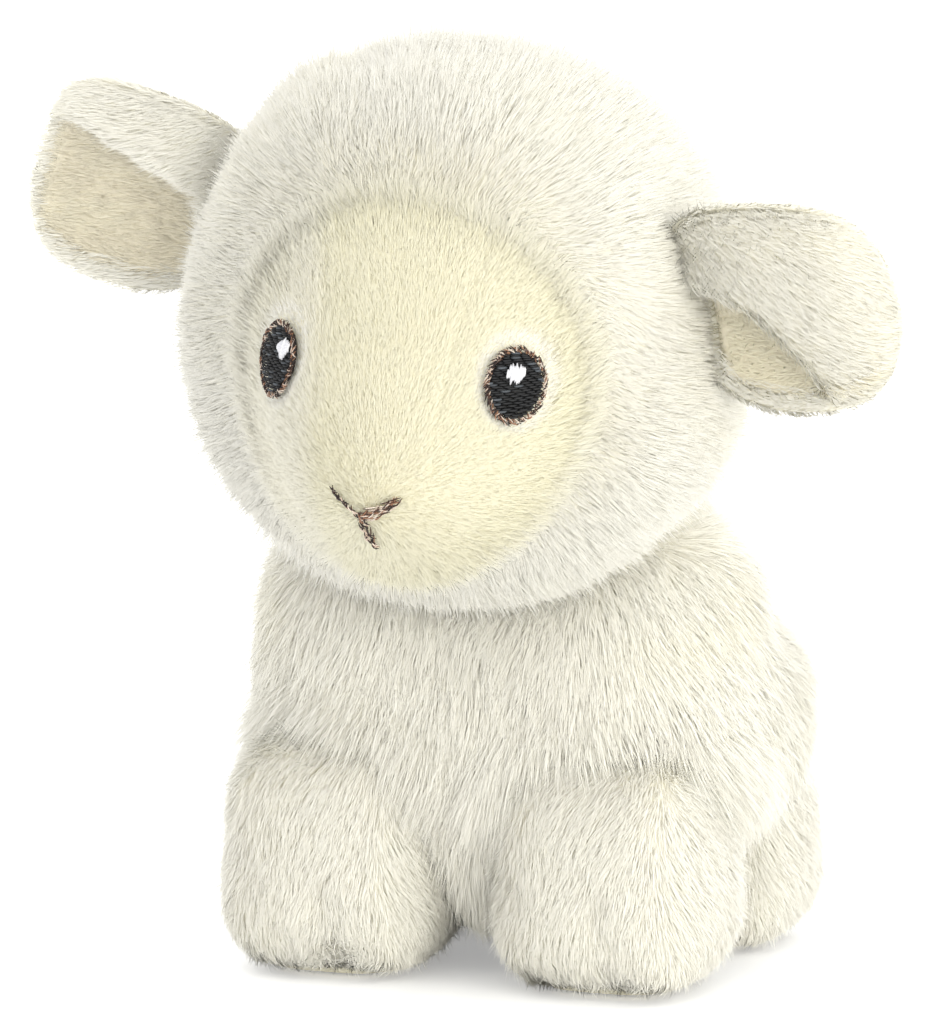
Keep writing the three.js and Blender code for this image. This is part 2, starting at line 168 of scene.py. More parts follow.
# Body and legs
BODY_CENTRE = HEAD_CENTRE + np.array([0.0, 27.0, -53.6])
BODY_HALF = {"x": 36.9, "front": 28.0, "back": 32.5, "up": 32.0, "down": 28.0}
BODY_POWER = 3.0
HAUNCH_SWELL = 0.02
BACK_SLOPE = 0.18
BACK_SLOPE_HEIGHT = (-0.02, 0.32)
BACK_SLOPE_REAR = (-0.3, 0.4)
LEG_HALF_WIDTH = 15.8
LEG_POWER = 3.6
LEG_TAPER = 0.07
SOLE_CUT = 0.5
LEGS = {
    "front": {"half_length": 15.5, "top": 35.0, "pivot_back": 3.0, "cleft": (3.2, 1.7, 1.5)},
    "hind": {"half_length": 15.0, "top": 30.0, "pivot_back": 0.0, "cleft": (1.5, 1.7, 0.8)},
}
CLEFT_FRONT = (0.45, 0.8)
CLEFT_LOW = (-0.15, 0.25)
SOLE_HALF_LENGTH = 15.2
SOLE_SHARE = 0.52
SOLE_LOW = 0.12
SOLE_ROUND = 0.5
SOLE_TOP = 1.9

# Ears
EAR_LENGTH = {"left": 26.6, "right": 24.3}
EAR_HALF_WIDTH = 15.4
EAR_THICKNESS = 3.1
EAR_FLAP_CURL = 9.0
EAR_LIP_CURL = 4.5
EAR_TIP_POWER = 3.2
EAR_EDGE_POWER = 2.7
EAR_BASE = 0.86
EAR_SINK = 6.0
EAR_TURN_DOWN = 24.0
EAR_SWEEP = 15.0
EAR_ROOT_HEIGHT = {"left": 13.0, "right": 20.5}
EAR_RISE = {"left": 7.0, "right": 15.0}
EAR_ROOT_FORWARD = {"left": 7.0, "right": 0.0}

# Tail
TAIL_ROOT = joint_place("tail_wag")
TAIL_HALF = np.array([6.0, 5.0, 10.5])
TAIL_LEAN = 26.0

# Filling: the grain of its lumps, and the pellets' spacing and radius
FILLING_GRAIN = 1.6
PELLET_STEP = 3.1
PELLET_RADIUS = 1.45

# Camera's place beside and under the head's centre, and its sensor
CAMERA_ASIDE = 1.31
CAMERA_DROP = 25.57
SENSOR = 36.0

# Each lamp's place to the camera's right, towards the camera and up in metres, its size, the setting of
# its power, and its colour
LAMPS = {
    "key_lamp": ((0.7, 1.1, -0.02), 0.8, "key_power", (1.0, 0.975, 0.885)),
    "fill_lamp": ((-0.8, 1.0, -0.05), 0.9, "fill_power", (0.96, 0.98, 1.0)),
    "back_lamp": ((0.3, -1.2, 0.5), 1.0, "back_power", (1.0, 0.99, 0.97)),
}

# What the lamps are turned to, in metres, the floor's half width, and its glow
LAMP_AIM = (0, 0, 0.06)
FLOOR_HALF = 4000.0
FLOOR_GLOW = 0.3

# How far each skin lies under the middle of its pile
WOOL_SINK = 1.7
FACE_SINK = 0.6
BODY_SINK = 0.9
LEG_SINK = 1.3
TAIL_SINK = 1.8

# Strands a square millimetre of the short piles, their lean, widths and length, and the most in one mesh
FACE_DENSITY = 32.0
LINING_DENSITY = 12.0
SHORT_LEAN = (50, 76)
FACE_STRAND = 0.09
LINING_STRAND = 0.1
LINING_LENGTH = 2.2
STRANDS_A_PIECE = 64000

# The filling's unevenness under the covers: their rough radius, the lumps' size and height, and their seed
LUMPS = {"head": (38, 11, 0.5, 5), "body": (34, 12, 0.7, 6), "leg": (16, 7, 0.4, 7)}

# Swelling of the stuffed covers: how much smaller they start, how far a point may move, and the cloth
SWELL_ROOM = 0.5
SWELL_CAP = 1.2
SWELL_STEPS = 20
SWELL_PRESSURE = 8000.0

# Where each seam starts and ends: along the ear, over the leg's pivot, and from the tail's root
EAR_SEAM = (-2, 4)
LEG_SEAM = ((0, 0, 12.0), (0, 0, 1.0))
TAIL_SEAM = ((0, -2.5, 0), (0, 3.5, -1.0))

# How far the chest bulges over the front legs, how deep the head sits in the body, and the belly's keel
LEG_BULGE = 0.9
HEAD_SEAT = 0.6
KEEL_DEPTH = 5.0
KEEL_HALF = 4.5
KEEL_TOP = 26

# How long the wool is beside the face, on the ears, on the legs and on the tail, as a share of the body's
WOOL_BY_FACE = 0.36
EAR_FRONT_WOOL = 0.6
EAR_BACK_WOOL = 0.42
LEG_WOOL = 0.6
TAIL_WOOL = 0.75

# How much closer the wool stands on the legs and on the tail
LEG_CLOSER = 1.05
TAIL_CLOSER = 1.1

# How light takes wool to face: the skin's own normal times the first of each pair, plus the second
BODY_FACING = ((1, 1, 0.45), (0, -0.1, 0.26))
LEG_FACING = ((1, 1, 0.3), (0, 0, 0.32))

# How deep in another piece a root may lie before its strand is left out
NECK_HIDDEN = 4
LEG_TOP_HIDDEN = 2.5
BODY_HIDDEN = 2.2

# Finishes: how far a strand's grain is stretched over its card, the size of a backing's clouds, the depth
# of the filling's fibres, and the radians of twist along a stitch
STRAND_GRAIN = (260, 3, 0)
CLOUD_SIZE = 12.0
FIBRE_DEPTH = 0.6
THREAD_TWIST = 38.0

# A strand's two lengths: how far its lean has come in each, and how much its tuft gathers it. The lowest
# that a strand reaches over the ground
STRAND_LENGTHS = ((0.25, 0.2), (0.75, 0.8))
STRAND_LOWEST = 0.05

# A coat: the lengths of the waves that sway it and the share of the short ones, how its strands' lengths
# and their lean in degrees vary by tuft and by strand, how far a loose strand stands up, and how deep a
# root is planted
SWAY_SIZES = (9.0, 3.5)
SWAY_SHARE = 0.6
LENGTH_SPREAD = (0.07, 0.13)
LEAN_SPREAD = (4, 5)
LOOSE_RISE = 30
ROOT_PLANTED = 0.15

# A coat's shading: how far light takes a strand to face along itself, with its tuft and by chance
SHADING_SPREAD = (0.06, 0.03, 0.02)
SHADE_SPREAD = 0.06


# Numbers and directions

def linear(*channels):
    """A colour given in 0 to 255 as the eye sees it, in the linear values that light works in."""
    shares = [c / 255 for c in channels]
    return tuple(s / 12.92 if s <= 0.04045 else ((s + 0.055) / 1.055) ** 2.4 for s in shares)


def unit(vectors):
    return vectors / np.maximum(np.linalg.norm(vectors, axis=-1, keepdims=True), 1e-9)


def smooth(values, low, high):
    share = np.clip((values - low) / (high - low), 0, 1)
    return share * share * (3 - 2 * share)


def turn_about(axis, degrees):
    """The matrix that turns column vectors about an axis."""
    x, y, z = unit(np.asarray(axis, float))
    c, s = math.cos(math.radians(degrees)), math.sin(math.radians(degrees))
    cross = np.array([[0, -z, y], [z, 0, -x], [-y, x, 0]])
    return c * np.eye(3) + s * cross + (1 - c) * np.outer((x, y, z), (x, y, z))


def circle(count):
    """Even turns all the way round."""
    return np.arange(count) / count * 2 * math.pi


def face_direction(side, rise):
    side, rise = math.radians(side), math.radians(rise)
    return np.array([math.sin(side) * math.cos(rise), -math.cos(side) * math.cos(rise), math.sin(rise)])


def lattice(cells, seed):
    """Three shares from 0 to 1 for each whole-number cell, the same on every run."""
    mask = 0xFFFFFFFF
    x, y, z = np.moveaxis(cells.astype(np.int64), -1, 0)
    mixed = (x * 73856093 ^ y * 19349663 ^ z * 83492791 ^ seed * 2654435761) & mask
    shares = []
    for _ in range(3):
        mixed = ((mixed ^ (mixed >> 15)) * 2246822519) & mask
        mixed = ((mixed ^ (mixed >> 13)) * 3266489917) & mask
        mixed = mixed ^ (mixed >> 16)
        shares.append(mixed / mask)
    return np.stack(shares, -1)


def clouds(points, spread, size, seed):
    """A spread of shade that wanders over a coat in clouds of a size."""
    return spread * drift(points, size, seed)[:, 0]


def drift(points, size, seed):
    """A smooth wandering vector of -1 to 1 at each point, whose waves are about as long as size."""
    scaled = points / size
    cell = np.floor(scaled)
    share = scaled - cell
    share = share * share * (3 - 2 * share)
    total = np.zeros_like(points)
    for corner in np.ndindex(2, 2, 2):
        weight = np.prod(np.where(corner, share, 1 - share), axis=1)
        total += weight[:, None] * (2 * lattice(cell + corner, seed) - 1)
    return total


def nearest_tufts(points, size, seed):
    """The middle of the tuft that each point belongs to, and three shares that its strands have in common."""
    cell = np.floor(points / size)
    best = np.full(len(points), np.inf)
    middle, mood = np.zeros_like(points), np.zeros_like(points)
    for step in np.ndindex(3, 3, 3):
        there = cell + np.array(step) - 1
        place = (there + lattice(there, seed)) * size
        far = ((place - points) ** 2).sum(1)
        closer = far < best
        best[closer], middle[closer] = far[closer], place[closer]
        mood[closer] = 2 * lattice(there[closer], seed + 1) - 1
    return middle, mood


# Forms

class Form:
    """A rounded shape round its own centre, told by its radius in each direction."""

    def __init__(self, centre, radius, turn=None):
        self.centre, self.radius = np.asarray(centre, float), radius
        self.turn = np.eye(3) if turn is None else turn

    def local(self, points):
        return (points - self.centre) @ self.turn

    def world(self, points):
        return self.centre + points @ self.turn.T

    def surface(self, directions, sink=0.0):
        return self.world(directions * (self.radius(directions) - sink)[:, None])

    def depth(self, points):
        """How far each point lies inside the form, along its own ray."""
        local = self.local(points)
        return self.radius(unit(local)) - np.linalg.norm(local, axis=1)


def plump(directions, half, power):
    return (np.abs(directions / half) ** power).sum(1) ** (-1 / power)


def face_share(directions):
    """0 in the middle of the face and 1 at its seam."""
    side = np.degrees(np.arctan2(directions[:, 0], -directions[:, 1]))
    rise = np.degrees(np.arcsin(np.clip(directions[:, 2], -1, 1)))
    return np.hypot(side / FACE_SIDE, (rise + FACE_DROP) / FACE_UP)


def wool_share(directions):
    return smooth(face_share(directions), *FACE_EDGE)


def head_radius(directions):
    muzzle = face_direction(0, -MUZZLE_DROP)
    away = np.degrees(np.arccos(np.clip(directions @ muzzle, -1, 1))) / MUZZLE_SPREAD
    face = plump(directions, FACE_HALF, 2) + MUZZLE_RISE * np.exp(-away ** 2)
    return face + (np.maximum(HEAD_RADIUS, face) - face) * wool_share(directions)


def body_radius(directions):
    half = np.empty_like(directions)
    half[:, 0] = BODY_HALF["x"]
    half[:, 1] = np.where(directions[:, 1] < 0, BODY_HALF["front"], BODY_HALF["back"])
    half[:, 2] = np.where(directions[:, 2] < 0, BODY_HALF["down"], BODY_HALF["up"])
    behind = smooth(directions[:, 1], *BACK_SLOPE_REAR)
    slope = BACK_SLOPE * smooth(directions[:, 2], *BACK_SLOPE_HEIGHT) * behind
    return plump(directions, half, BODY_POWER) * (1 + HAUNCH_SWELL * directions[:, 1]) * (1 - slope)


def leg_form(end, side):
    """A stubby leg, a little wider at the paw, which has a soft cleft low in its front.

    A cleft has its place beside the middle, half its width and its depth.
    """
    leg = LEGS[end]
    middle = (leg["top"] - SOLE_CUT) / 2
    centre = joint_place(f"leg_{end}_{side}_swing") - np.array([0, leg["pivot_back"], 0])
    centre[2] = middle
    cleft_x, cleft_half, cleft_depth = leg["cleft"]

    def radius(directions):
        taper = 1 - LEG_TAPER * directions[:, 2]
        half = np.stack([
            LEG_HALF_WIDTH * taper,
            leg["half_length"] * taper,
            np.where(directions[:, 2] < 0, middle + SOLE_CUT, leg["top"] - middle),
        ], 1)
        far = plump(directions, half, LEG_POWER)
        front = smooth(-directions[:, 1], *CLEFT_FRONT) * smooth(-directions[:, 2], *CLEFT_LOW)
        groove = np.exp(-((directions[:, 0] * far - cleft_x) / cleft_half) ** 2)
        return far - cleft_depth * front * groove

    return Form(centre, radius)


HEAD_TURN = turn_about((0, 0, 1), HEAD_ASIDE) @ turn_about((0, 1, 0), HEAD_ROLL)
HEAD = Form(HEAD_CENTRE, head_radius, HEAD_TURN)
BODY = Form(BODY_CENTRE, body_radius)
LEG_FORMS = {(end, side): leg_form(end, side) for end in LEGS for side in SIDES}
TAIL_TURN = turn_about((1, 0, 0), TAIL_LEAN)
TAIL_CENTRE = TAIL_ROOT + TAIL_TURN @ np.array([0, 0, -TAIL_HALF[2] / 2])
TAIL = Form(TAIL_CENTRE, lambda directions: plump(directions, TAIL_HALF, 2), TAIL_TURN)


# Finishes

class Socket:
    """One socket of a material, so that maths on it reads as plain expressions."""

    def __init__(self, tree, socket):
        self.tree, self.socket = tree, socket

    def output(self, key):
        """Another output of the same node."""
        return Socket(self.tree, self.socket.node.outputs[key])

    def maths(self, operation, *values):
        return add_node(self.tree, "ShaderNodeMath", {"operation": operation}, dict(enumerate(values)))

    def sine(self):
        return self.maths("SINE", self)

    def at_most(self, value):
        return self.maths("MINIMUM", self, value)

    def __add__(self, other):
        return self.maths("ADD", self, other)

    def __sub__(self, other):
        return self.maths("SUBTRACT", self, other)

    def __rsub__(self, other):
        return self.maths("SUBTRACT", other, self)

    def __mul__(self, other):
        return self.maths("MULTIPLY", self, other)

    def __pow__(self, other):
        return self.maths("POWER", self, other)

    __radd__, __rmul__ = __add__, __mul__


def add_node(tree, kind, settings=None, values=None, output=0):
    """Adds a node of a type, sets its settings and then its sockets, and gives one of its outputs."""
    node = tree.nodes.new(kind)
    for setting, value in (settings or {}).items():
        if setting == "stops":
            set_stops(node.color_ramp, value)
        else:
            setattr(node, setting, value)
    for socket, value in (values or {}).items():
        if isinstance(value, Socket):
            tree.links.new(value.socket, node.inputs[socket])
        else:
            node.inputs[socket].default_value = value
    return Socket(tree, node.outputs[output])


def set_stops(ramp, colours):
    """Spreads a colour ramp's stops evenly."""
    while len(ramp.elements) < len(colours):
        ramp.elements.new(0.5)
    for k, (element, colour) in enumerate(zip(ramp.elements, colours)):
        element.position = k / (len(colours) - 1)
        element.color = (*colour, 1)


class Finish:
    """A procedural material under way."""

    def __init__(self, name, **constants):
        self.material = bpy.data.materials.new(name)
        self.material.use_nodes = True
        self.tree = self.material.node_tree
        self.shader = next(n for n in self.tree.nodes if n.type == "BSDF_PRINCIPLED")
        for socket, value in constants.items():
            self.shader.inputs[socket.replace("_", " ")].default_value = value

    def node(self, *about):
        return add_node(self.tree, *about)

    def noise(self, place, scale, detail=2.0):
        return self.node("ShaderNodeTexNoise", {}, {"Vector": place, "Scale": scale, "Detail": detail}, "Fac")

    def mix(self, share, first, second):
        first, second = (end if isinstance(end, Socket) else (*end, 1) for end in (first, second))
        return self.node("ShaderNodeMix", {"data_type": "RGBA"}, {0: share, 6: first, 7: second}, 2)

    def feed(self, socket, value):
        self.tree.links.new(value.socket, self.shader.inputs[socket])
        return self

    def bump(self, height, strength, depth):
        values = {"Height": height, "Strength": strength, "Distance": depth * MM}
        return self.feed("Normal", self.node("ShaderNodeBump", {}, values, "Normal"))


def strand_card(look, shades):
    """The place on a strand's or a stitch's card, the way along it, and the shade that it picks."""
    card = look.node("ShaderNodeUVMap", {"uv_map": "OFBake"})
    split = look.node("ShaderNodeSeparateXYZ", {}, {0: card})
    return card, split.output(1), look.node("ShaderNodeValToRGB", {"stops": shades}, {0: split})


def pile_finish(name, shades, root_shade_and_grain_tint, root_shade_share=0.25, grain=0.03):
    """A pile whose strands each pick their shade, and take a darker tint towards the root: painted shade deep
    in the coat.
    """
    look = Finish(name, Roughness=0.9, Specular_IOR_Level=0.2, Sheen_Weight=0.25, Sheen_Roughness=0.5)
    card, along, colour = strand_card(look, shades)
    stretched = look.node("ShaderNodeVectorMath", {"operation": "MULTIPLY"}, {0: card, 1: STRAND_GRAIN})
    fine = look.noise(stretched, 1.0)
    dull = look.mix((fine - 0.5) * (2 * grain) + grain, colour, root_shade_and_grain_tint)
    # Darker towards each strand's root: painted shade between the strands
    shaded_to_root = look.mix((1 - along) ** 2.0 * root_shade_share, dull, root_shade_and_grain_tint)
    look.feed("Base Color", shaded_to_root)
    return look.material


def skin_finish(name, colour, under, size=0.9, depth=0.25, roughness=0.95):
    """The knitted backing between the strands: fine specks of pile, and a little bump."""
    look = Finish(name, Roughness=roughness)
    place = look.node("ShaderNodeTexCoord", {}, {}, "Object")
    specks = look.noise(place, 1 / (size * MM), 3.0)
    broad = look.noise(place, 1 / (CLOUD_SIZE * MM))
    look.feed("Base Color", look.mix(specks * 0.7 + broad * 0.3, under, colour))
    return look.bump(specks, 0.5, depth).material


def fibre_finish(name, colour, under):
    """Loose filling: long soft clouds of fibre."""
    look = Finish(name, Roughness=0.95)
    place = look.node("ShaderNodeTexCoord", {}, {}, "Object")
    cloudy = {"Vector": place, "Scale": 320.0, "Detail": 4.0, "Distortion": 1.6}
    wisps = look.node("ShaderNodeTexNoise", {}, cloudy, "Fac")
    look.feed("Base Color", look.mix(wisps, under, colour))
    return look.bump(wisps, 0.7, FIBRE_DEPTH).material


def thread_finish(name, shades, roughness=0.5):
    """Embroidery thread: each stitch picks its shade, and its twist runs in fine bands along it."""
    look = Finish(name, Roughness=roughness)
    _, along, colour = strand_card(look, shades)
    twist = (along * THREAD_TWIST).sine() * 0.5 + 0.5
    look.feed("Base Color", look.mix(twist * 0.22, colour, tuple(c * 0.55 for c in shades[0])))
    return look.material


# Meshes

def new_piece(name, points, faces, material, smooth_faces=True):
    """A mesh object from points in millimetres and a list of faces."""
    mesh = bpy.data.meshes.new(name)
    mesh.from_pydata((np.asarray(points) * MM).tolist(), [], [tuple(face) for face in faces])
    mesh.polygons.foreach_set("use_smooth", [smooth_faces] * len(mesh.polygons))
    mesh.materials.append(material)
    mesh.update()
    piece = bpy.data.objects.new(name, mesh)
    bpy.context.scene.collection.objects.link(piece)
    return piece


def ball_directions(level):
    """Even directions all round, and the triangles between them."""
    bm = bmesh.new()
    bmesh.ops.create_icosphere(bm, subdivisions=level, radius=1)
    points = unit(np.array([v.co[:] for v in bm.verts]))
    faces = [[v.index for v in face.verts] for face in bm.faces]
    bm.free()
    return points, faces


def grid_faces(rows, columns, closed):
    """Quads of a grid whose rows run round (closed) or not."""
    faces = []
    for i in range(rows - 1):
        for j in range(columns if closed else columns - 1):
            k = (j + 1) % columns
            faces.append((i * columns + j, i * columns + k, (i + 1) * columns + k, (i + 1) * columns + j))
    return faces


def shell_faces(top, edge, size, turned=False):
    """A thin shell's faces: its top, the same faces size points further on, and a rim between their edges."""
    under = [tuple(size + k for k in reversed(face)) for face in top]
    pairs = zip(edge, edge[1:] + edge[:1])
    rim = [(a, b, size + b, size + a) if turned else (a, size + a, size + b, b) for a, b in pairs]
    return top + under + rim


def shell_from_grid(outer, inner):
    """Closes two grids of the same shape into one thin shell."""
    rows, columns = outer.shape[:2]
    points = np.concatenate([outer.reshape(-1, 3), inner.reshape(-1, 3)])
    edge = [columns, *range(columns)]
    edge += [i * columns + columns - 1 for i in range(1, rows)]
    edge += [(rows - 1) * columns + j for j in range(columns - 2, -1, -1)]
    edge += [i * columns for i in range(rows - 2, 1, -1)]
    return points, shell_faces(grid_faces(rows, columns, False), edge, rows * columns)


def repeat_faces(faces, count, size):
    """The faces of as many copies as count, each of which has size points."""
    return [tuple(k + copy * size for k in face) for copy in range(count) for face in faces]


def fix_normals(piece):
    bm = bmesh.new()
    bm.from_mesh(piece.data)
    bmesh.ops.recalc_face_normals(bm, faces=bm.faces)
    bm.to_mesh(piece.data)
    bm.free()
    piece.data.update()


def surface_of(piece):
    """A mesh's points, their normals and its triangles, as arrays in millimetres."""
    mesh = piece.data
    mesh.calc_loop_triangles()
    points, normals = np.empty(len(mesh.vertices) * 3), np.empty(len(mesh.vertices) * 3)
    mesh.vertices.foreach_get("co", points)
    mesh.vertices.foreach_get("normal", normals)
    triangles = np.empty(len(mesh.loop_triangles) * 3, np.int32)
    mesh.loop_triangles.foreach_get("vertices", triangles)
    return points.reshape(-1, 3) / MM, normals.reshape(-1, 3), triangles.reshape(-1, 3)


def scatter(piece, density, weight, rng):
    """Roots over a piece's surface, as many a square millimetre as density times the weight there, if any."""
    points, normals, triangles = surface_of(piece)
    corners = points[triangles]
    area = np.linalg.norm(np.cross(corners[:, 1] - corners[:, 0], corners[:, 2] - corners[:, 0]), axis=1) / 2
    wanted = area * weight(points)[triangles].mean(1) if weight else area
    count = int(wanted.sum() * density)
    pick = rng.choice(len(triangles), count, p=wanted / wanted.sum())
    share = rng.random((count, 2))
    over = share.sum(1) > 1
    share[over] = 1 - share[over]
    weights = np.stack([1 - share.sum(1), share[:, 0], share[:, 1]], 1)[..., None]
    return (corners[pick] * weights).sum(1), unit((normals[triangles[pick]] * weights).sum(1))


def strand_mesh(name, levels, side, widths, normals, shade, material):
    """Tapered ribbons, each of five points, a quad and a triangle.

    levels is (3, count, 3), for the roots, the middles and the tips.
    """
    count = levels.shape[1]
    points = np.stack([
        levels[0] - side * widths[0], levels[0] + side * widths[0],
        levels[1] - side * widths[1], levels[1] + side * widths[1], levels[2],
    ], 1)
    points[..., 2] = np.maximum(points[..., 2], STRAND_LOWEST)
    mesh = bpy.data.meshes.new(name)
    mesh.vertices.add(count * 5)
    mesh.vertices.foreach_set("co", (points * MM).astype(np.float32).ravel())
    mesh.loops.add(count * 7)
    corner = np.array([0, 1, 3, 2, 2, 3, 4])
    mesh.loops.foreach_set("vertex_index", (np.arange(count)[:, None] * 5 + corner).astype(np.int32).ravel())
    mesh.polygons.add(count * 2)
    starts = np.arange(count)[:, None] * 7 + np.array([0, 4])
    mesh.polygons.foreach_set("loop_start", starts.astype(np.int32).ravel())
    mesh.polygons.foreach_set("use_smooth", np.ones(count * 2, bool))
    mesh.update(calc_edges=True)
    card = np.empty((count, 5, 2))
    card[..., 0] = np.clip(shade, 0.02, 0.98)[:, None] + np.array([-1, 1, -1, 1, 0]) * 0.004
    card[..., 1] = np.array([0.02, 0.02, 0.5, 0.5, 0.98])
    layer = mesh.uv_layers.new(name="OFBake")
    layer.data.foreach_set("uv", card[:, corner].astype(np.float32).ravel())
    custom = mesh.attributes.new("custom_normal", "FLOAT_VECTOR", "POINT")
    custom.data.foreach_set("vector", np.repeat(normals, 5, axis=0).astype(np.float32).ravel())
    mesh.materials.append(material)
    piece = bpy.data.objects.new(name, mesh)
    bpy.context.scene.collection.objects.link(piece)
    return piece


def grow(name, roots, normals, heading, length, shade, material, seed, *,
         width=0.1, lean=(50, 83), loose=0.07, tuft=2.0, pull=0.12, stray=0.1, swirl=0.28, facing=None,
         keep=None):
    """Grows a coat of fine strands and gives its pieces, each with few enough strands for one mesh.

    heading is the way the pile is brushed at each root. lean is how far from upright a strand starts and
    ends, and a loose share of the strands stands up more. Strands of one tuft share a mood, and their tips
    are pulled together. facing is the way that light takes the pile to face, where it isn't the skin's own.
    keep says which strands stay, from their roots, middles and tips.
    """
    rng = np.random.default_rng(seed)
    middle, mood = nearest_tufts(roots, tuft, seed)
    long_waves, short_waves = (drift(roots, size, seed + k) for k, size in enumerate(SWAY_SIZES, 3))
    wander = swirl * long_waves + SWAY_SHARE * swirl * short_waves
    brushed = unit(heading) + wander + 0.1 * mood + stray * rng.normal(size=roots.shape)
    brushed = unit(brushed - (brushed * normals).sum(1, keepdims=True) * normals)
    by_tuft, by_strand = LENGTH_SPREAD
    length = length * (1 + by_tuft * mood[:, 0] + by_strand * rng.normal(size=len(roots)))
    raised = np.where(rng.random(len(roots)) < loose, LOOSE_RISE, 0)
    by_tuft, by_strand = LEAN_SPREAD
    angle = [
        np.radians(a - raised + by_tuft * mood[:, 1] + by_strand * rng.normal(size=len(roots))) for a in lean
    ]
    towards = middle - roots
    towards -= (towards * normals).sum(1, keepdims=True) * normals
    levels = [roots - ROOT_PLANTED * normals]
    step = roots
    for share, gather in STRAND_LENGTHS:
        a = np.clip(angle[0] + (angle[1] - angle[0]) * share, 0, 1.5)[:, None]
        onward = np.cos(a) * normals + np.sin(a) * brushed
        step = step + onward * length[:, None] / 2 + towards * pull * gather
        levels.append(step)
    levels = np.stack(levels)
    axis = unit(levels[2] - levels[0])
    flat = unit(np.cross(axis, normals) + 1e-6)
    spin = rng.uniform(-0.5, 0.5, len(roots))[:, None]
    side = np.cos(spin) * flat + np.sin(spin) * np.cross(axis, flat)
    thick = width / 2 * (1 + 0.25 * rng.normal(size=len(roots)))[:, None]
    outward = normals if facing is None else facing
    by_axis, by_tuft, by_strand = SHADING_SPREAD
    shaded = unit(outward + by_axis * axis + by_tuft * mood + by_strand * rng.normal(size=roots.shape))
    if keep is not None:
        kept = keep(levels)
        levels, shade = levels[:, kept], shade[kept]
        side, thick, shaded = side[kept], thick[kept], shaded[kept]
    shade = shade + SHADE_SPREAD * rng.normal(size=len(shade))
    order = np.argsort(levels[0][:, 0], kind="stable")
    parts = np.array_split(order, max(1, math.ceil(len(order) / STRANDS_A_PIECE)))
    pieces = []
    for number, part in enumerate(parts, 1):
        title = f"{name}_{number}" if len(parts) > 1 else name
        pieces.append(strand_mesh(title, levels[:, part], side[part], (thick[part], thick[part] * 0.8),
                                  shaded[part], shade[part], material))
    return pieces


def tubes(paths, thick, shades, sides=6):
    """Rounded stitches along paths of (count, steps, 3), as points, faces and card places."""
    count, steps = paths.shape[:2]
    along = unit(np.gradient(paths, axis=1))
    flat = unit(np.cross(along, np.array([0.31, -0.42, 0.85])))
    rise = np.cross(along, flat)
    swell = np.full(steps, 1.0)
    swell[[0, -1]] = STITCH_END
    turn = circle(sides)
    ring = np.cos(turn)[:, None] * flat[:, :, None] + np.sin(turn)[:, None] * rise[:, :, None]
    radius = thick / 2 * swell[:, None, None]
    points = (paths[:, :, None] + ring * radius).reshape(-1, 3)
    start, end = tuple(range(sides))[::-1], tuple((steps - 1) * sides + k for k in range(sides))
    one = grid_faces(steps, sides, True) + [start, end]
    faces = repeat_faces(one, count, steps * sides)
    card = np.empty((count, steps, sides, 2))
    card[..., 0] = np.asarray(shades)[:, None, None] + np.cos(turn) * 0.01
    card[..., 1] = np.linspace(0.02, 0.98, steps)[None, :, None]
    return points, faces, card.reshape(-1, 2)


def stitched_piece(name, parts, material):
    """One object of many stitches. Each part is points, faces and card places."""
    points, faces, card, start = [], [], [], 0
    for part_points, part_faces, part_card in parts:
        points.append(part_points)
        card.append(part_card)
        faces += [tuple(k + start for k in face) for face in part_faces]
        start += len(part_points)
    piece = new_piece(name, np.concatenate(points), faces, material)
    mesh, card = piece.data, np.concatenate(card)
    corners = np.empty(len(mesh.loops), np.int32)
    mesh.loops.foreach_get("vertex_index", corners)
    mesh.uv_layers.new(name="OFBake").data.foreach_set("uv", card[corners].astype(np.float32).ravel())
    return piece


def swell(points, faces, held):
    """Lets pressure swell a closed cover between the places that hold it, and gives its new points."""
    scene = bpy.context.scene
    cover = new_piece("cover_under_pressure", points, faces, finish(wool_backing))
    cover.vertex_groups.new(name="held").add(np.flatnonzero(held).tolist(), 1.0, "REPLACE")
    cloth = cover.modifiers.new("cloth", "CLOTH")
    cloth.settings.vertex_group_mass = "held"
    cloth.settings.use_pressure = True
    cloth.settings.uniform_pressure_force = SWELL_PRESSURE
    cloth.settings.effector_weights.gravity = 0.0
    cloth.collision_settings.use_collision = False
    for step in range(1, SWELL_STEPS + 1):
        scene.frame_set(step)
    swollen = np.empty(len(points) * 3)
    cover.evaluated_get(bpy.context.evaluated_depsgraph_get()).data.vertices.foreach_get("co", swollen)
    mesh = cover.data
    bpy.data.objects.remove(cover)
    bpy.data.meshes.remove(mesh)
    scene.frame_set(1)
    move = swollen.reshape(-1, 3) / MM - points
    far = np.linalg.norm(move, axis=1, keepdims=True)
    return points + move * np.minimum(1.0, SWELL_CAP / np.maximum(far, 1e-9))


def attach(piece, body=None, blend=None):
    """Puts a piece on the body that it moves with, or, given a blend, only bakes its place into its points.
    """
    if blend:
        start, end = (Vector(p * MM) for p in blend[2:])
        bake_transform(piece)
        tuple(start)
        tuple(end)
    else:
        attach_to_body(piece, body)
    return piece


# Settings

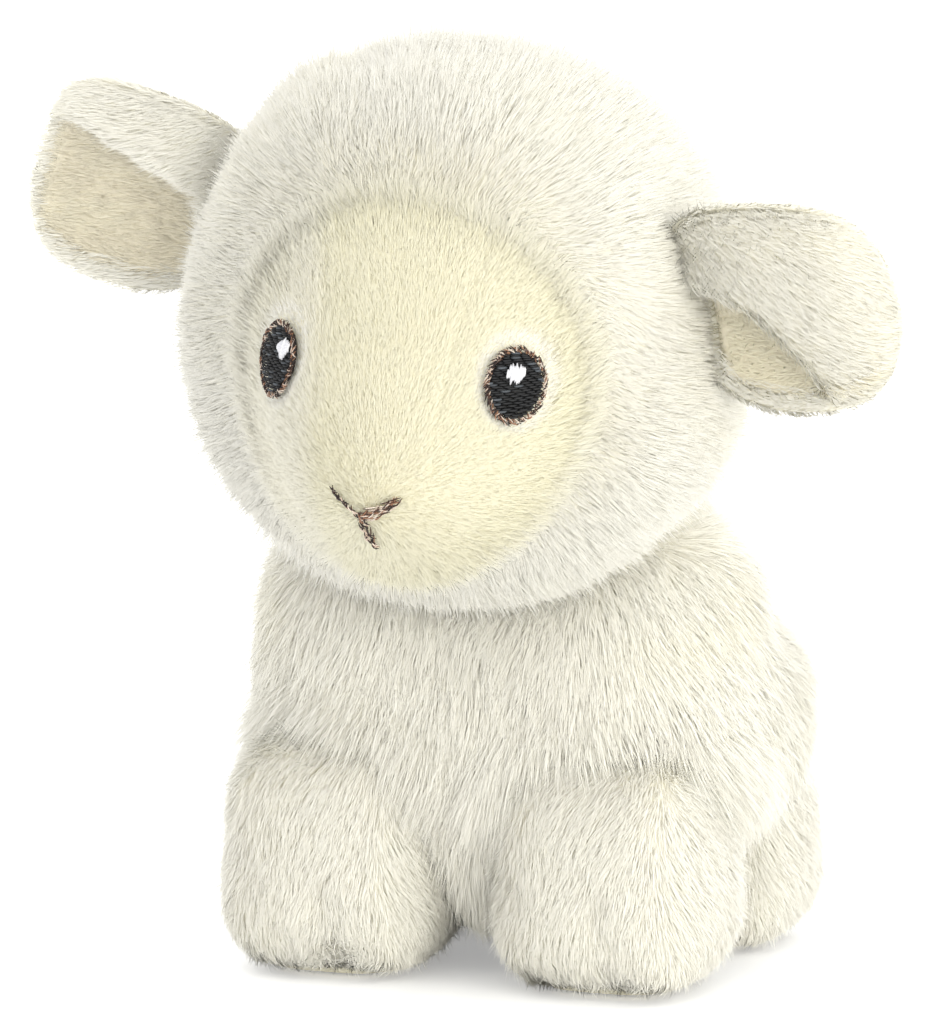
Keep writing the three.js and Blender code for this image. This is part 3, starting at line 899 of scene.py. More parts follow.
class LambCoat(bpy.types.PropertyGroup):
    """Sizes and colours of the pile."""

    wool_length: FloatProperty(name="Wool length", description="Length of a strand of wool",
                               default=5.6 * MM, unit="LENGTH")
    face_length: FloatProperty(name="Face pile length", description="Length of a strand on the face",
                               default=1.7 * MM, unit="LENGTH")
    strand_width: FloatProperty(name="Strand width", description="Width of a strand at its root",
                                default=0.105 * MM, unit="LENGTH")
    density: FloatProperty(name="Density", description="Strands of wool a square millimetre", default=15.0)
    wool_light: FloatVectorProperty(name="Wool light", description="The whitest wool", subtype="COLOR",
                                    default=linear(252, 250, 240))
    wool_warm: FloatVectorProperty(name="Wool warm", description="The creamiest wool", subtype="COLOR",
                                   default=linear(251, 246, 222))
    # Darker than the lightest wool: towards the strands' roots it is painted shade deep in the coat, and it
    # is also a shade of the lining and of the face's backing
    wool_root: FloatVectorProperty(name="Wool root", description="Wool at its root", subtype="COLOR",
                                   default=linear(246, 240, 218))
    face_light: FloatVectorProperty(name="Face light", description="The palest pile on the face",
                                    subtype="COLOR", default=linear(247, 244, 228))
    face_warm: FloatVectorProperty(name="Face warm", description="The creamiest pile on the face",
                                   subtype="COLOR", default=linear(248, 244, 218))
    lining: FloatVectorProperty(name="Lining", description="The pile inside the ears", subtype="COLOR",
                                default=linear(243, 235, 212))


class LambStitching(bpy.types.PropertyGroup):
    """Sizes and colours of the embroidery."""

    thread: FloatProperty(name="Thread", description="Thickness of an embroidery thread",
                          default=0.4 * MM, unit="LENGTH")
    black: FloatVectorProperty(name="Black", description="Thread of the pupils", subtype="COLOR",
                               default=linear(5, 5, 7))
    brown: FloatVectorProperty(name="Brown", description="Dark thread of the rings and mouth",
                               subtype="COLOR", default=linear(30, 17, 14))
    copper: FloatVectorProperty(name="Copper", description="Light thread of the rings and mouth",
                                subtype="COLOR", default=linear(168, 122, 92))
    white: FloatVectorProperty(name="White", description="Thread of the highlights", subtype="COLOR",
                               default=linear(246, 246, 248))


class LambStage(bpy.types.PropertyGroup):
    """Camera and light."""

    azimuth: FloatProperty(name="Azimuth", description="Camera's turn round the lamb",
                           default=math.radians(21.0), subtype="ANGLE")
    elevation: FloatProperty(name="Elevation", description="Camera's height over the horizon",
                             default=math.radians(8.25), subtype="ANGLE")
    distance: FloatProperty(name="Distance", description="Camera's distance from the head",
                            default=1.0019, unit="LENGTH")
    focal_share: FloatProperty(name="Focal length", description="Focal length in sensor widths",
                               default=7.2338)
    key_power: FloatProperty(name="Key lamp", description="Power of the key lamp in watts", default=7.5)
    fill_power: FloatProperty(name="Fill lamp", description="Power of the fill lamp in watts", default=0.25)
    back_power: FloatProperty(name="Back lamp", description="Power of the back lamp in watts", default=5.0)
    sky: FloatProperty(name="Sky", description="Strength of the even light all round", default=1.2)


def coat_settings():
    return bpy.context.scene.lamb_coat


def stitching_settings():
    return bpy.context.scene.lamb_stitching


def wool_pile():
    coat = coat_settings()
    return pile_finish("wool_pile", [coat.wool_light, coat.wool_light, coat.wool_warm], coat.wool_root)


def face_pile():
    coat = coat_settings()
    return pile_finish("face_pile", [coat.wool_light, coat.face_light, coat.face_warm], coat.wool_root, 0.2)


def lining_pile():
    coat = coat_settings()
    return pile_finish("lining_pile", [coat.wool_root, coat.lining, coat.wool_warm], coat.lining)


def wool_backing():
    coat = coat_settings()
    return skin_finish("wool_backing", coat.wool_light, coat.wool_warm)


def face_backing():
    coat = coat_settings()
    return skin_finish("face_backing", coat.face_warm, coat.wool_root, 0.5)


def lining_backing():
    coat = coat_settings()
    return skin_finish("lining_backing", coat.lining, coat.wool_root)


def filling_fibre():
    return fibre_finish("filling_fibre", linear(250, 250, 248), linear(222, 222, 220))


def pouch_cloth():
    return skin_finish("pouch_cloth", linear(238, 236, 230), linear(214, 210, 202), 0.6, roughness=0.9)


def seam_thread():
    return skin_finish("seam_thread", linear(246, 243, 232), linear(222, 216, 200), 0.3, 0.1, 0.8)


def pellet_plastic():
    return skin_finish("pellet_plastic", linear(236, 236, 230), linear(222, 222, 216), 2.0, 0.05, 0.4)


def black_thread():
    # The last, light grey shade is for painted glints on the black thread
    shades = [stitching_settings().black, linear(9, 10, 13), linear(15, 17, 21), linear(92, 98, 104)]
    return thread_finish("black_thread", shades, 0.55)


def brown_thread():
    stitching = stitching_settings()
    shades = [stitching.brown, linear(74, 46, 34), stitching.copper, linear(240, 226, 210)]
    return thread_finish("brown_thread", shades)


def white_thread():
    return thread_finish("white_thread", [linear(214, 214, 220), stitching_settings().white])


FINISHES = {}


def finish(maker):
    """A finish, made the first time that it is asked for."""
    if maker not in FINISHES:
        FINISHES[maker] = maker()
    return FINISHES[maker]


# Head

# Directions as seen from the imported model's frame, how far round they reach in degrees, and height
HEAD_LUMPS = (
    ((0.867, 0.267, -0.422), 17, 2.4),
    ((0.9, 0.1, -0.32), 10, 0.6),
    ((-0.566, -0.089, 0.821), 11, 1.6),
    ((-0.395, -0.009, 0.918), 4.5, -1.5),
    ((0.8, 0.379, 0.466), 13, 1.8),
    ((0.62, 0.2, 0.76), 20, 0.9),
    ((0.95, -0.27, -0.05), 15, -2.8),
)
PARTING = ((-0.395, -0.009, 0.918), (-0.28, -0.28, 0.918), (-0.142, -0.495, 0.858), (-0.12, -0.6, 0.79))


def head_lumps(directions):
    """Fluffed and flattened places of the head's wool, and the parting over one brow."""
    toward = directions @ HEAD_TURN.T
    height = np.zeros(len(toward))
    for middle, spread, lift in HEAD_LUMPS:
        away = np.degrees(np.arccos(np.clip(toward @ unit(np.array(middle)), -1, 1)))
        height += lift * np.exp(-((away / spread) ** 2))
    line = np.concatenate([np.linspace(a, b, 5) for a, b in zip(PARTING, PARTING[1:])])
    nearest = np.degrees(np.arccos(np.clip((toward @ unit(line).T).max(1), -1, 1)))
    return height - 1.1 * np.exp(-((nearest / 2.6) ** 2))


def lumps(directions, cover, shift=0):
    """The soft unevenness of loose filling under a cover."""
    radius, size, height, seed = LUMPS[cover]
    return height * drift(directions * radius + shift, size, seed)[:, 0]


def lit_as(normals, facing):
    """Skin normals, scaled and lifted as BODY_FACING and LEG_FACING say."""
    scale, lift = facing
    return unit(normals * scale + lift)


def on_back_seam(directions):
    """Which directions lie on the seam down the back of a cover."""
    return (np.abs(directions[:, 0]) < BACK_SEAM_HALF) & (directions[:, 1] > 0)


def away_from(middle, toward):
    """The way over the head's surface that leads away from a middle direction."""
    return (toward @ middle)[:, None] * toward - middle


def towards_form(normals, toward, share):
    """Skin normals that a share of turns into those of the head's smooth form."""
    return unit(normals + 2.5 * share[:, None] * (toward @ HEAD_TURN.T))


class LAMB_OT_head(bpy.types.Operator):
    """Head cover with its wool"""

    bl_idname = "lamb.head"
    bl_label = "Head"

    def execute(self, context):
        skin = self.cover()
        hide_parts("head_cover")
        attach(skin, "head")
        self.wool(coat_settings(), skin)
        return {"FINISHED"}

    def cover(self):
        directions, faces = ball_directions(5)
        wool = wool_share(directions)
        sink = WOOL_SINK * wool + (FACE_SINK + 1.6) * (1 - wool)
        lift = lumps(directions, "head") + head_lumps(directions) * wool
        points = HEAD.surface(directions, sink - lift + SWELL_ROOM * wool)
        held = (face_share(directions) < 1.02) | (BODY.depth(points) > 0) | on_back_seam(directions)
        return new_piece("head_cover_skin", swell(points, faces, held), faces, finish(wool_backing))

    def wool(self, coat, skin):
        """Wool that is brushed away from the face, short beside the face and by the ears."""

        def weight(points):
            toward = unit(HEAD.local(points))
            hidden = BODY.depth(points) > NECK_HIDDEN
            return smooth(face_share(toward), 0.9, 1.02) * ~hidden

        roots, normals = scatter(skin, coat.density, weight, np.random.default_rng(SEED))
        toward = unit(HEAD.local(roots))
        share = face_share(toward)
        heading = (away_from(face_direction(0, -FACE_DROP), toward) + (0, 0, -0.25)) @ HEAD_TURN.T
        length = coat.wool_length / MM * (WOOL_BY_FACE + (1 - WOOL_BY_FACE) * smooth(share, 0.95, 1.45))
        shade = 0.42 + clouds(roots, 0.25, 16, 11) + 0.2 * (1 - smooth(share, 0.95, 1.35))
        from_ears = [np.linalg.norm(roots - ear_frame(side)[0], axis=1) for side in SIDES]
        length = length * (1 - 0.35 * (1 - smooth(np.min(from_ears, axis=0), 14, 22)))
        by_face = 1 - smooth(share, 1.25, 1.8)
        behind = smooth(toward[:, 1], -0.1, 0.5)
        for piece in grow("head_wool", roots, normals, heading, length, shade, finish(wool_pile), SEED,
                          width=coat.strand_width / MM, lean=(50 + 24 * behind, 83 + 7 * behind),
                          facing=towards_form(normals, toward, by_face)):
            attach(piece, "head")


class LAMB_OT_face(bpy.types.Operator):
    """Face panel with its short pile"""

    bl_idname = "lamb.face"
    bl_label = "Face"

    def execute(self, context):
        skin = self.panel()
        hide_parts("face_panel")
        attach(skin, "head")
        self.pile(coat_settings(), skin)
        return {"FINISHED"}

    def panel(self):
        rings, around = 34, 96
        share = np.linspace(0.0, 1.0, rings)[1:, None]
        turn = circle(around)
        side = np.radians(FACE_SIDE * share * np.cos(turn))
        rise = np.radians(FACE_UP * share * np.sin(turn) - FACE_DROP)
        directions = np.stack([np.sin(side) * np.cos(rise), -np.cos(side) * np.cos(rise), np.sin(rise)], -1)
        directions = np.concatenate([face_direction(0, -FACE_DROP)[None], directions.reshape(-1, 3)])
        front = HEAD.surface(directions, FACE_SINK + seam_groove(directions) * STRIP_SEAM_DEPTH)
        back = HEAD.surface(directions, FACE_SINK + 1.3)
        size = len(directions)
        top = [(0, 1 + j, 1 + (j + 1) % around) for j in range(around)]
        top += [tuple(k + 1 for k in reversed(face)) for face in grid_faces(rings - 1, around, True)]
        faces = shell_faces(top, list(range(size - around, size)), size)
        skin = new_piece("face_panel_skin", np.concatenate([front, back]), faces, finish(face_backing))
        fix_normals(skin)
        return skin

    def pile(self, coat, skin):
        """Short pile that is brushed away from the nose, shorter and paler round the eyes."""

        def weight(points):
            toward = unit(HEAD.local(points))
            outer = HEAD.depth(points) < FACE_SINK + 0.9
            return outer * (1 - near_eyes(toward, *EYE_BARE))

        roots, normals = scatter(skin, FACE_DENSITY, weight, np.random.default_rng(SEED + 1))
        toward = unit(HEAD.local(roots))
        share = face_share(toward)
        heading = away_from(face_direction(0, -NOSE_DROP), toward) @ HEAD_TURN.T
        halo = near_eyes(toward, *EYE_HALO)
        length = coat.face_length / MM * (1 - 0.45 * halo) * (1 - 0.25 * seam_groove(toward))
        length = length * (1 + 1.5 * smooth(share, 0.68, 1.0))
        # Painted shade: on the lamb's right cheek, past the strip's seam, the warm cream fades by more than
        # half, as that cheek is turned from the warm key lamp
        shaded_cheek_past_seam = np.where(toward[:, 0] < 0, past_seam(toward), -5)
        warm = (1 - 0.55 * smooth(shaded_cheek_past_seam, -1.5, 3.5)) * (1 - smooth(share, 0.84, 1.12))
        shade = 0.1 + 0.85 * warm + clouds(roots, 0.1, 12, 21) - 1.0 * halo
        for piece in grow("face_pile", roots, normals, heading, length, shade, finish(face_pile), SEED + 1,
                          width=FACE_STRAND, lean=SHORT_LEAN, tuft=0.9, pull=0.15, stray=0.16, swirl=0.22,
                          facing=towards_form(normals, toward, smooth(share, 0.6, 0.92))):
            attach(piece, "head")


def seam_groove(directions):
    """1 along the two seams of the strip between the eyes, and 0 away from them."""
    reach = smooth(directions[:, 2], -0.42, -0.2)
    return reach * np.exp(-(past_seam(directions) / STRIP_SEAM_WIDTH) ** 2)


def past_seam(directions):
    """How far each direction lies past the strip between the eyes, which widens upwards."""
    place = directions * HEAD_RADIUS * 0.8
    return np.abs(place[:, 0]) - STRIP_HALF - STRIP_WIDENS * place[:, 2]


def on_face(centre, across, rise, height):
    """The head's surface at a height over it, at places across and up from a centre direction."""
    middle = centre * head_radius(centre[None])[0]
    right = unit(np.cross(centre, (0, 0, 1)))
    right = right if right[0] > 0 else -right
    top = unit(np.cross(right, centre))
    top = top if top[2] > 0 else -top
    across, rise, height = np.broadcast_arrays(across, rise, height)
    toward = unit(middle + across[..., None] * right + rise[..., None] * top).reshape(-1, 3)
    points = HEAD.world(toward * (head_radius(toward) + height.ravel())[:, None])
    return points.reshape(*across.shape, 3)


def near_eyes(directions, inner, outer):
    """1 within an eye's oval and 0 beyond a share of its size."""
    near = np.zeros(len(directions))
    for side, sign in SIDES.items():
        centre = face_direction(sign * EYE_SIDE[side], -EYE_DROP)
        radius = head_radius(centre[None])[0]
        right = unit(np.cross((0, 0, 1), centre))
        place = directions * radius
        across, rise = place @ right / EYE_HALF[0], place @ unit(np.cross(centre, right)) / EYE_HALF[1]
        far = np.where(directions @ centre > 0.5, np.hypot(across, rise), 9.0)
        near = np.maximum(near, 1 - smooth(far, inner, outer))
    return near


# Embroidery

def brown_shade(mix, rng):
    """One of the brown thread's shades, picked by how many stitches have each."""
    return np.clip(rng.choice(BROWN_SHADES, p=mix) + rng.normal() * 0.05, 0.02, 0.98)


def stitch_size(kind):
    """The thickness of an embroidery's stitches, the height of their ends over the skin, and their bow."""
    share, low, bow = STITCHES[kind]
    return stitching_settings().thread / MM * share, low, bow


class LAMB_OT_eyes(bpy.types.Operator):
    """Embroidered eyes: pupil, ring and highlight"""

    bl_idname = "lamb.eyes"
    bl_label = "Eyes"

    def execute(self, context):
        for side, sign in SIDES.items():
            rng = np.random.default_rng(SEED + 20 + sign)
            centre = face_direction(sign * EYE_SIDE[side], -EYE_DROP)
            self.pupil(side, centre, rng)
            self.ring(side, centre, rng)
            self.highlight(side, centre, rng)
        return {"FINISHED"}

    def pupil(self, side, centre, rng):
        parts = [self.pupil_pad(centre), self.pupil_stitches(centre, rng)]
        piece = stitched_piece(f"eye_{side}_pupil_stitches", parts, finish(black_thread))
        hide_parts(f"eye_{side}_pupil")
        attach(piece, "head")

    def pupil_pad(self, centre):
        """The domed pad under a pupil's stitches."""
        half_x, half_z = PUPIL_HALF
        rings, around = 9, 36
        size = rings * around
        share = np.linspace(0.02, 1, rings)[:, None]
        turn = circle(around)
        across, rise = share * half_x * np.cos(turn), share * half_z * np.sin(turn)
        levels = [on_face(centre, across, rise, height) for height in (0.55 - 0.5 * share ** 4, -0.3)]
        points = np.concatenate(levels).reshape(-1, 3)
        top = grid_faces(rings, around, True) + [tuple(range(around))]
        faces = shell_faces(top, list(range(size - around, size)), size, True)
        return points, faces, np.full((len(points), 2), 0.3)

    def pupil_stitches(self, centre, rng):
        """Rows of short stitches whose ends are out of step from row to row, a share of them light grey:
        painted glints.
        """
        half_x, half_z = PUPIL_HALF
        thick, low_end, bow = stitch_size("pupil")
        paths, shades = [], []
        t = np.linspace(0, 1, 6)
        for row, height in enumerate(np.arange(-half_z + PUPIL_ROW / 2, half_z, PUPIL_ROW)):
            reach = half_x * math.sqrt(max(0.0, 1 - (height / half_z) ** 2))
            for start in np.arange(-reach - PUPIL_STITCH * ((row * 0.37) % 1), reach, PUPIL_STITCH):
                low, high = max(start, -reach), min(start + PUPIL_STITCH, reach)
                if high - low < PUPIL_SHORTEST:
                    continue
                across = low + (high - low) * t + rng.normal() * 0.06
                rise = height + 0.05 * across + rng.normal() * 0.04
                paths.append(on_face(centre, across, rise, low_end + bow * np.sin(math.pi * t)))
                # A share of the stitches pick light grey: painted glints
                painted_glint = rng.random() < PUPIL_GLINT_SHARE
                shades.append(rng.uniform(0.8, 0.97) if painted_glint else rng.uniform(0.05, 0.6))
        return tubes(np.array(paths), thick, shades)

    def ring(self, side, centre, rng):
        thick, low_end, bow = stitch_size("ring")
        paths, shades = [], []
        count = RING_STITCHES
        t = np.linspace(0, 1, 5)
        for turn in (np.arange(count) + rng.uniform(-0.4, 0.4, count)) / count * 2 * math.pi:
            inner, outer = rng.uniform(*RING_INNER), rng.uniform(*RING_OUTER)
            twist = 0.07 + rng.normal() * 0.09
            far = inner + (outer - inner) * t
            angle = turn + twist * (t - 0.5) * 2
            height = low_end + bow * np.sin(math.pi * t) + rng.uniform(0, 0.2)
            across, rise = EYE_HALF[0] * far * np.cos(angle), EYE_HALF[1] * far * np.sin(angle)
            paths.append(on_face(centre, across, rise, height))
            shades.append(brown_shade(RING_MIX, rng))
        stitches = tubes(np.array(paths), thick, shades, 5)
        piece = stitched_piece(f"eye_{side}_ring_stitches", [stitches], finish(brown_thread))
        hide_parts(f"eye_{side}_ring")
        attach(piece, "head")

    def highlight(self, side, centre, rng):
        thick, low_end, bow = stitch_size("highlight")
        inset = SIDES[side] * HIGHLIGHT_INSET[side]
        paths, shades = [], []
        t = np.linspace(0, 1, 6)
        height = low_end + bow * np.sin(math.pi * t)
        for across in np.arange(-1.15, 1.2, 0.28):
            reach = HIGHLIGHT_HALF * math.sqrt(max(0.15, 1 - (across / 1.3) ** 2))
            low, high = -reach + rng.normal() * 0.22, reach + rng.normal() * 0.22
            rise = low + (high - low) * t
            paths.append(on_face(centre, across - inset + 0.12 * rise, HIGHLIGHT_RISE + rise, height))
            shades.append(rng.uniform(0.3, 1.0))
        stitches = tubes(np.array(paths), thick, np.clip(shades, 0.05, 0.95))
        piece = stitched_piece(f"eye_{side}_highlight_stitches", [stitches], finish(white_thread))
        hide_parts(f"eye_{side}_highlight")
        attach(piece, "head")


# Start and end of each arm of the mouth, its width, its stitches, their length and turn, and the share of
# them that has each brown shade
MOUTH_ARMS = (
    ((-0.8, 0.7), (-5.1, 3.9), 0.5, 30, 1.1, 0.35, (0.6, 0.22, 0.1, 0.08)),
    ((-0.8, 0.7), (4.2, 3.2), 1.5, 62, 1.9, 0.3, (0.24, 0.22, 0.28, 0.26)),
    ((-0.7, 0.9), (0.4, -4.3), 1.1, 44, 1.3, 0.5, (0.44, 0.26, 0.14, 0.16)),
)


class LAMB_OT_mouth(bpy.types.Operator):
    """Nose and mouth: a Y of satin stitches"""

    bl_idname = "lamb.mouth"
    bl_label = "Mouth"

    def execute(self, context):
        rng = np.random.default_rng(SEED + 40)
        paths, shades = [], []
        for *place, mix in MOUTH_ARMS:
            for path in self.arm(*place, rng):
                paths.append(path)
                shades.append(brown_shade(mix, rng))
        stitches = tubes(np.array(paths), stitch_size("mouth")[0], shades, 5)
        piece = stitched_piece("mouth_satin_stitches", [stitches], finish(brown_thread))
        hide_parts("mouth_stitching")
        attach(piece, "head")
        return {"FINISHED"}

    def arm(self, start, end, wide, count, reach, skew, rng):
        """The stitches of one arm, one by one, which lean to one side and the other by turns."""
        centre = face_direction(0, -NOSE_DROP)
        _, low_end, bow = stitch_size("mouth")
        run = np.array(end) - start
        length = math.hypot(*run)
        run = run / length
        cross = np.array([-run[1], run[0]])
        t = np.linspace(-1, 1, 5)
        middle = np.cos(t * math.pi / 2)
        for k in range(count):
            sign = 1 if k % 2 else -1
            at = (k + rng.uniform(0.1, 0.9)) / count * length
            full = 0.45 + 0.55 * math.sin(math.pi * min(1.0, 0.2 + 0.75 * at / length))
            off = rng.uniform(-0.5, 0.5) * wide * full
            turn = skew * sign * rng.uniform(0.6, 1.3)
            along = at + reach / 2 * math.cos(turn) * t
            aside = off + reach / 2 * math.sin(turn) * t - 0.12 * wide * middle * sign
            line = np.outer(along, run) + np.outer(aside, cross) + start
            height = low_end + bow * middle + rng.uniform(0, 0.18)
            yield on_face(centre, line[:, 0], line[:, 1], height)


# Ears

def ear_frame(side):
    """The ear's root and its three directions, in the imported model's frame."""
    sign = SIDES[side]
    root = face_direction(sign * (90 - EAR_ROOT_FORWARD[side]), EAR_ROOT_HEIGHT[side]) * (HEAD_RADIUS + 0.3)
    along = face_direction(sign * (90 - EAR_SWEEP), EAR_RISE[side])
    forward = turn_about(along, sign * EAR_TURN_DOWN) @ face_direction(-sign * EAR_SWEEP, 0)
    across = np.cross(forward, along) * sign
    return [HEAD.world(root[None])[0]] + [HEAD_TURN @ v for v in (along, forward, across)]


# The lining: how far along the ear and how near the lip it starts, half its thickness, and how much lighter
# and warmer its shade is on each ear, which is painted light on the left ear, that faces the key lamp
LINING_REACH = (0.17, 0.93)
LINING_LIP = -0.84
LINING_HALF = 0.35
LINING_PAINTED_LIGHT = {"left": 0.4, "right": 0.0}

# Where the fold over the lining lies from lip (-1) to flap (1), at shares of the ear's length
EAR_FOLD = {
    "left": (
        (0.0, 0.2, 0.38, 0.5, 0.58, 0.66, 0.72, 1.0),
        (0.15, 0.1, -0.03, -0.24, -0.48, -0.85, -1.12, -1.2),
    ),
    "right": ((0.0, 0.19, 0.26, 0.52, 0.95, 1.0), (-0.35, -0.2, 0.12, 0.25, 0.5, 0.55)),
}


def ear_width(share):
    """How full and how wide the ear is at a share of its length, as shares of the most."""
    reach = 2 * share - 1
    full = np.maximum(0, 1 - np.abs(reach) ** EAR_TIP_POWER) ** (1 / EAR_TIP_POWER)
    return full, full * (EAR_BASE + (1 - EAR_BASE) * smooth(reach, -1, 0))


def ear_curl(place):
    """How far the ear's edges curl forward."""
    return np.where(place > 0, 0.55 * EAR_FLAP_CURL, EAR_LIP_CURL) * place ** 2


def ear_point(side, share, place, front):
    """A point of the ear: share along it, place from lip (-1) to flap (1), on its front or its back."""
    root, along, forward, across = ear_frame(side)
    full, wide = ear_width(share)
    span = EAR_HALF_WIDTH * wide * place
    rim = EAR_FLAP_CURL * wide ** 2
    curl = ear_curl(wide * place)
    round_off = np.maximum(0, 1 - np.abs(place) ** EAR_EDGE_POWER) ** (1 / EAR_EDGE_POWER)
    fold = np.interp(share, *EAR_FOLD[side])
    flap = smooth(place, fold - 0.05, fold + 0.1)
    rolled = np.clip((place - fold) / np.maximum(1 - fold, 0.3), 0, 1)
    over = 0.5 * rim + 1.3 - 0.9 * rolled ** 1.4 - curl
    lip = 1.5 * (1 - smooth(place, -0.97, -0.75))
    thick = np.where(front, (over * flap + (0.9 + lip) * (1 - flap)) * full ** 0.6, -EAR_THICKNESS * full)
    out = share * (EAR_LENGTH[side] + EAR_SINK) - EAR_SINK
    level = curl + thick * round_off
    return root + along * out[..., None] + across * span[..., None] + forward * level[..., None]


def ear_place(side, points):
    """Each point's share along the ear, its place across, the fold's place there, and its level."""
    root, along, forward, across = ear_frame(side)
    local = points - root
    share = (local @ along + EAR_SINK) / (EAR_LENGTH[side] + EAR_SINK)
    _, wide = ear_width(np.clip(share, 0.0005, 0.9995))
    width = EAR_HALF_WIDTH * np.maximum(0.15, wide)
    return share, local @ across / width, np.interp(share, *EAR_FOLD[side]), local @ forward


class LAMB_OT_ears(bpy.types.Operator):
    """Ears: a woolly back that rolls over a short-piled lining"""

    bl_idname = "lamb.ears"
    bl_label = "Ears"

    def execute(self, context):
        for side in SIDES:
            self.ear(side)
        return {"FINISHED"}

    def ear(self, side):
        root, along, _, _ = ear_frame(side)
        seam = ("head", f"ear_{side}", *(root + along * reach for reach in EAR_SEAM))
        skin = self.back(side)
        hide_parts(f"ear_{side}_back")
        rng = np.random.default_rng(SEED + 60 + SIDES[side])
        self.wool(coat_settings(), side, skin, seam, rng)
        self.lining(side, seam, rng)
        attach(skin, blend=seam)

    def back(self, side):
        rows, around = 40, 56
        share = (1 - np.cos(np.linspace(0, math.pi, rows)))[1:-1, None] / 2
        turn = circle(around)
        place = np.broadcast_to(np.cos(turn), (rows - 2, around))
        grid = ear_point(side, np.broadcast_to(share, place.shape), place, np.sin(turn)[None] > 0)
        ends = [grid[0].mean(0), grid[-1].mean(0)]
        points = np.concatenate([grid.reshape(-1, 3), ends])
        faces = grid_faces(rows - 2, around, True)
        root, tip = len(points) - 2, len(points) - 1
        faces += [(root, (j + 1) % around, j) for j in range(around)]
        last = (rows - 3) * around
        faces += [(tip, last + j, last + (j + 1) % around) for j in range(around)]
        skin = new_piece(f"ear_{side}_skin", points, faces, finish(wool_backing))
        fix_normals(skin)
        return skin

    def wool(self, coat, side, skin, seam, rng):
        """Wool that is brushed towards the tip, short where the back rolls over and thick at the edges."""
        _, along, forward, across = ear_frame(side)

        def weight(points):
            share, place, fold, level = ear_place(side, points)
            lined = (place < fold - 0.04) & (place > LINING_LIP) & (share < LINING_REACH[1])
            inside = lined & (level > ear_curl(place))
            return ~inside * (HEAD.depth(points) < 1.5) * (1 + 0.8 * smooth(np.abs(place), 0.75, 0.95))

        roots, normals = scatter(skin, coat.density, weight, rng)
        share, place, fold, _ = ear_place(side, roots)
        front = normals @ forward > 0
        hang = np.where(front, 0.3, 0.15) * (np.abs(place) < 0.93)
        heading = along - across * hang[:, None]
        length = coat.wool_length / MM * np.where(front, EAR_FRONT_WOOL, EAR_BACK_WOOL)
        length = length * (1 - 0.3 * smooth(share, 0.7, 1.0))
        length = length * (1 - 0.4 * (place < -0.8) - 0.3 * smooth(place, 0.6, 0.85))
        length = length * (1 - 0.45 * front * np.exp(-((place - fold) / 0.16) ** 2))
        rim = np.maximum(smooth(np.abs(place), 0.75, 0.95), smooth(share, 0.86, 0.97))
        length = length * (1 - 0.5 * rim * ~front)
        shade = 0.3 + clouds(roots, 0.25, 12, 31)
        seen = smooth(normals @ forward, -0.35, 0.2) * (0.25 + 1.2 * rim)
        for piece in grow(f"ear_{side}_wool", roots, normals, heading, length, shade, finish(wool_pile),
                          SEED + 3, width=coat.strand_width / MM,
                          facing=unit(normals + seen[:, None] * forward)):
            attach(piece, blend=seam)

    def lining(self, side, seam, rng):
        _, along, forward, _ = ear_frame(side)
        rows, columns = 26, 18
        share = np.linspace(*LINING_REACH, rows)[:, None]
        edge = np.maximum(np.interp(share, *EAR_FOLD[side]) - 0.03, -0.76)
        place = LINING_LIP + (edge - LINING_LIP) * np.linspace(0, 1, columns)
        share = np.broadcast_to(share, place.shape)
        outer = ear_point(side, share, place, np.full(place.shape, True)) + forward * LINING_HALF
        shell = shell_from_grid(outer, outer - forward * 2 * LINING_HALF)
        skin = new_piece(f"ear_{side}_lining_skin", *shell, finish(lining_backing))
        fix_normals(skin)
        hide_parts(f"ear_{side}_lining")
        roots, normals = scatter(skin, LINING_DENSITY, None, rng)
        shown = normals @ forward > 0.2
        roots, normals = roots[shown], normals[shown]
        length = np.full(len(roots), LINING_LENGTH)
        # The left ear's lining picks a lighter, warmer shade: painted light where the key lamp falls
        shade = 0.5 + clouds(roots, 0.3, 7, 33) + LINING_PAINTED_LIGHT[side]
        outward = 0.6 * np.array([0.5 * SIDES[side], -0.8, 0.3])
        for piece in grow(f"ear_{side}_lining_pile", roots, normals, np.broadcast_to(along, roots.shape),
                          length, shade, finish(lining_pile), SEED + 5, width=LINING_STRAND,
                          lean=SHORT_LEAN, tuft=1.5, stray=0.15, facing=unit(normals + outward)):
            attach(piece, blend=seam)
        attach(skin, blend=seam)


# Body, legs and tail

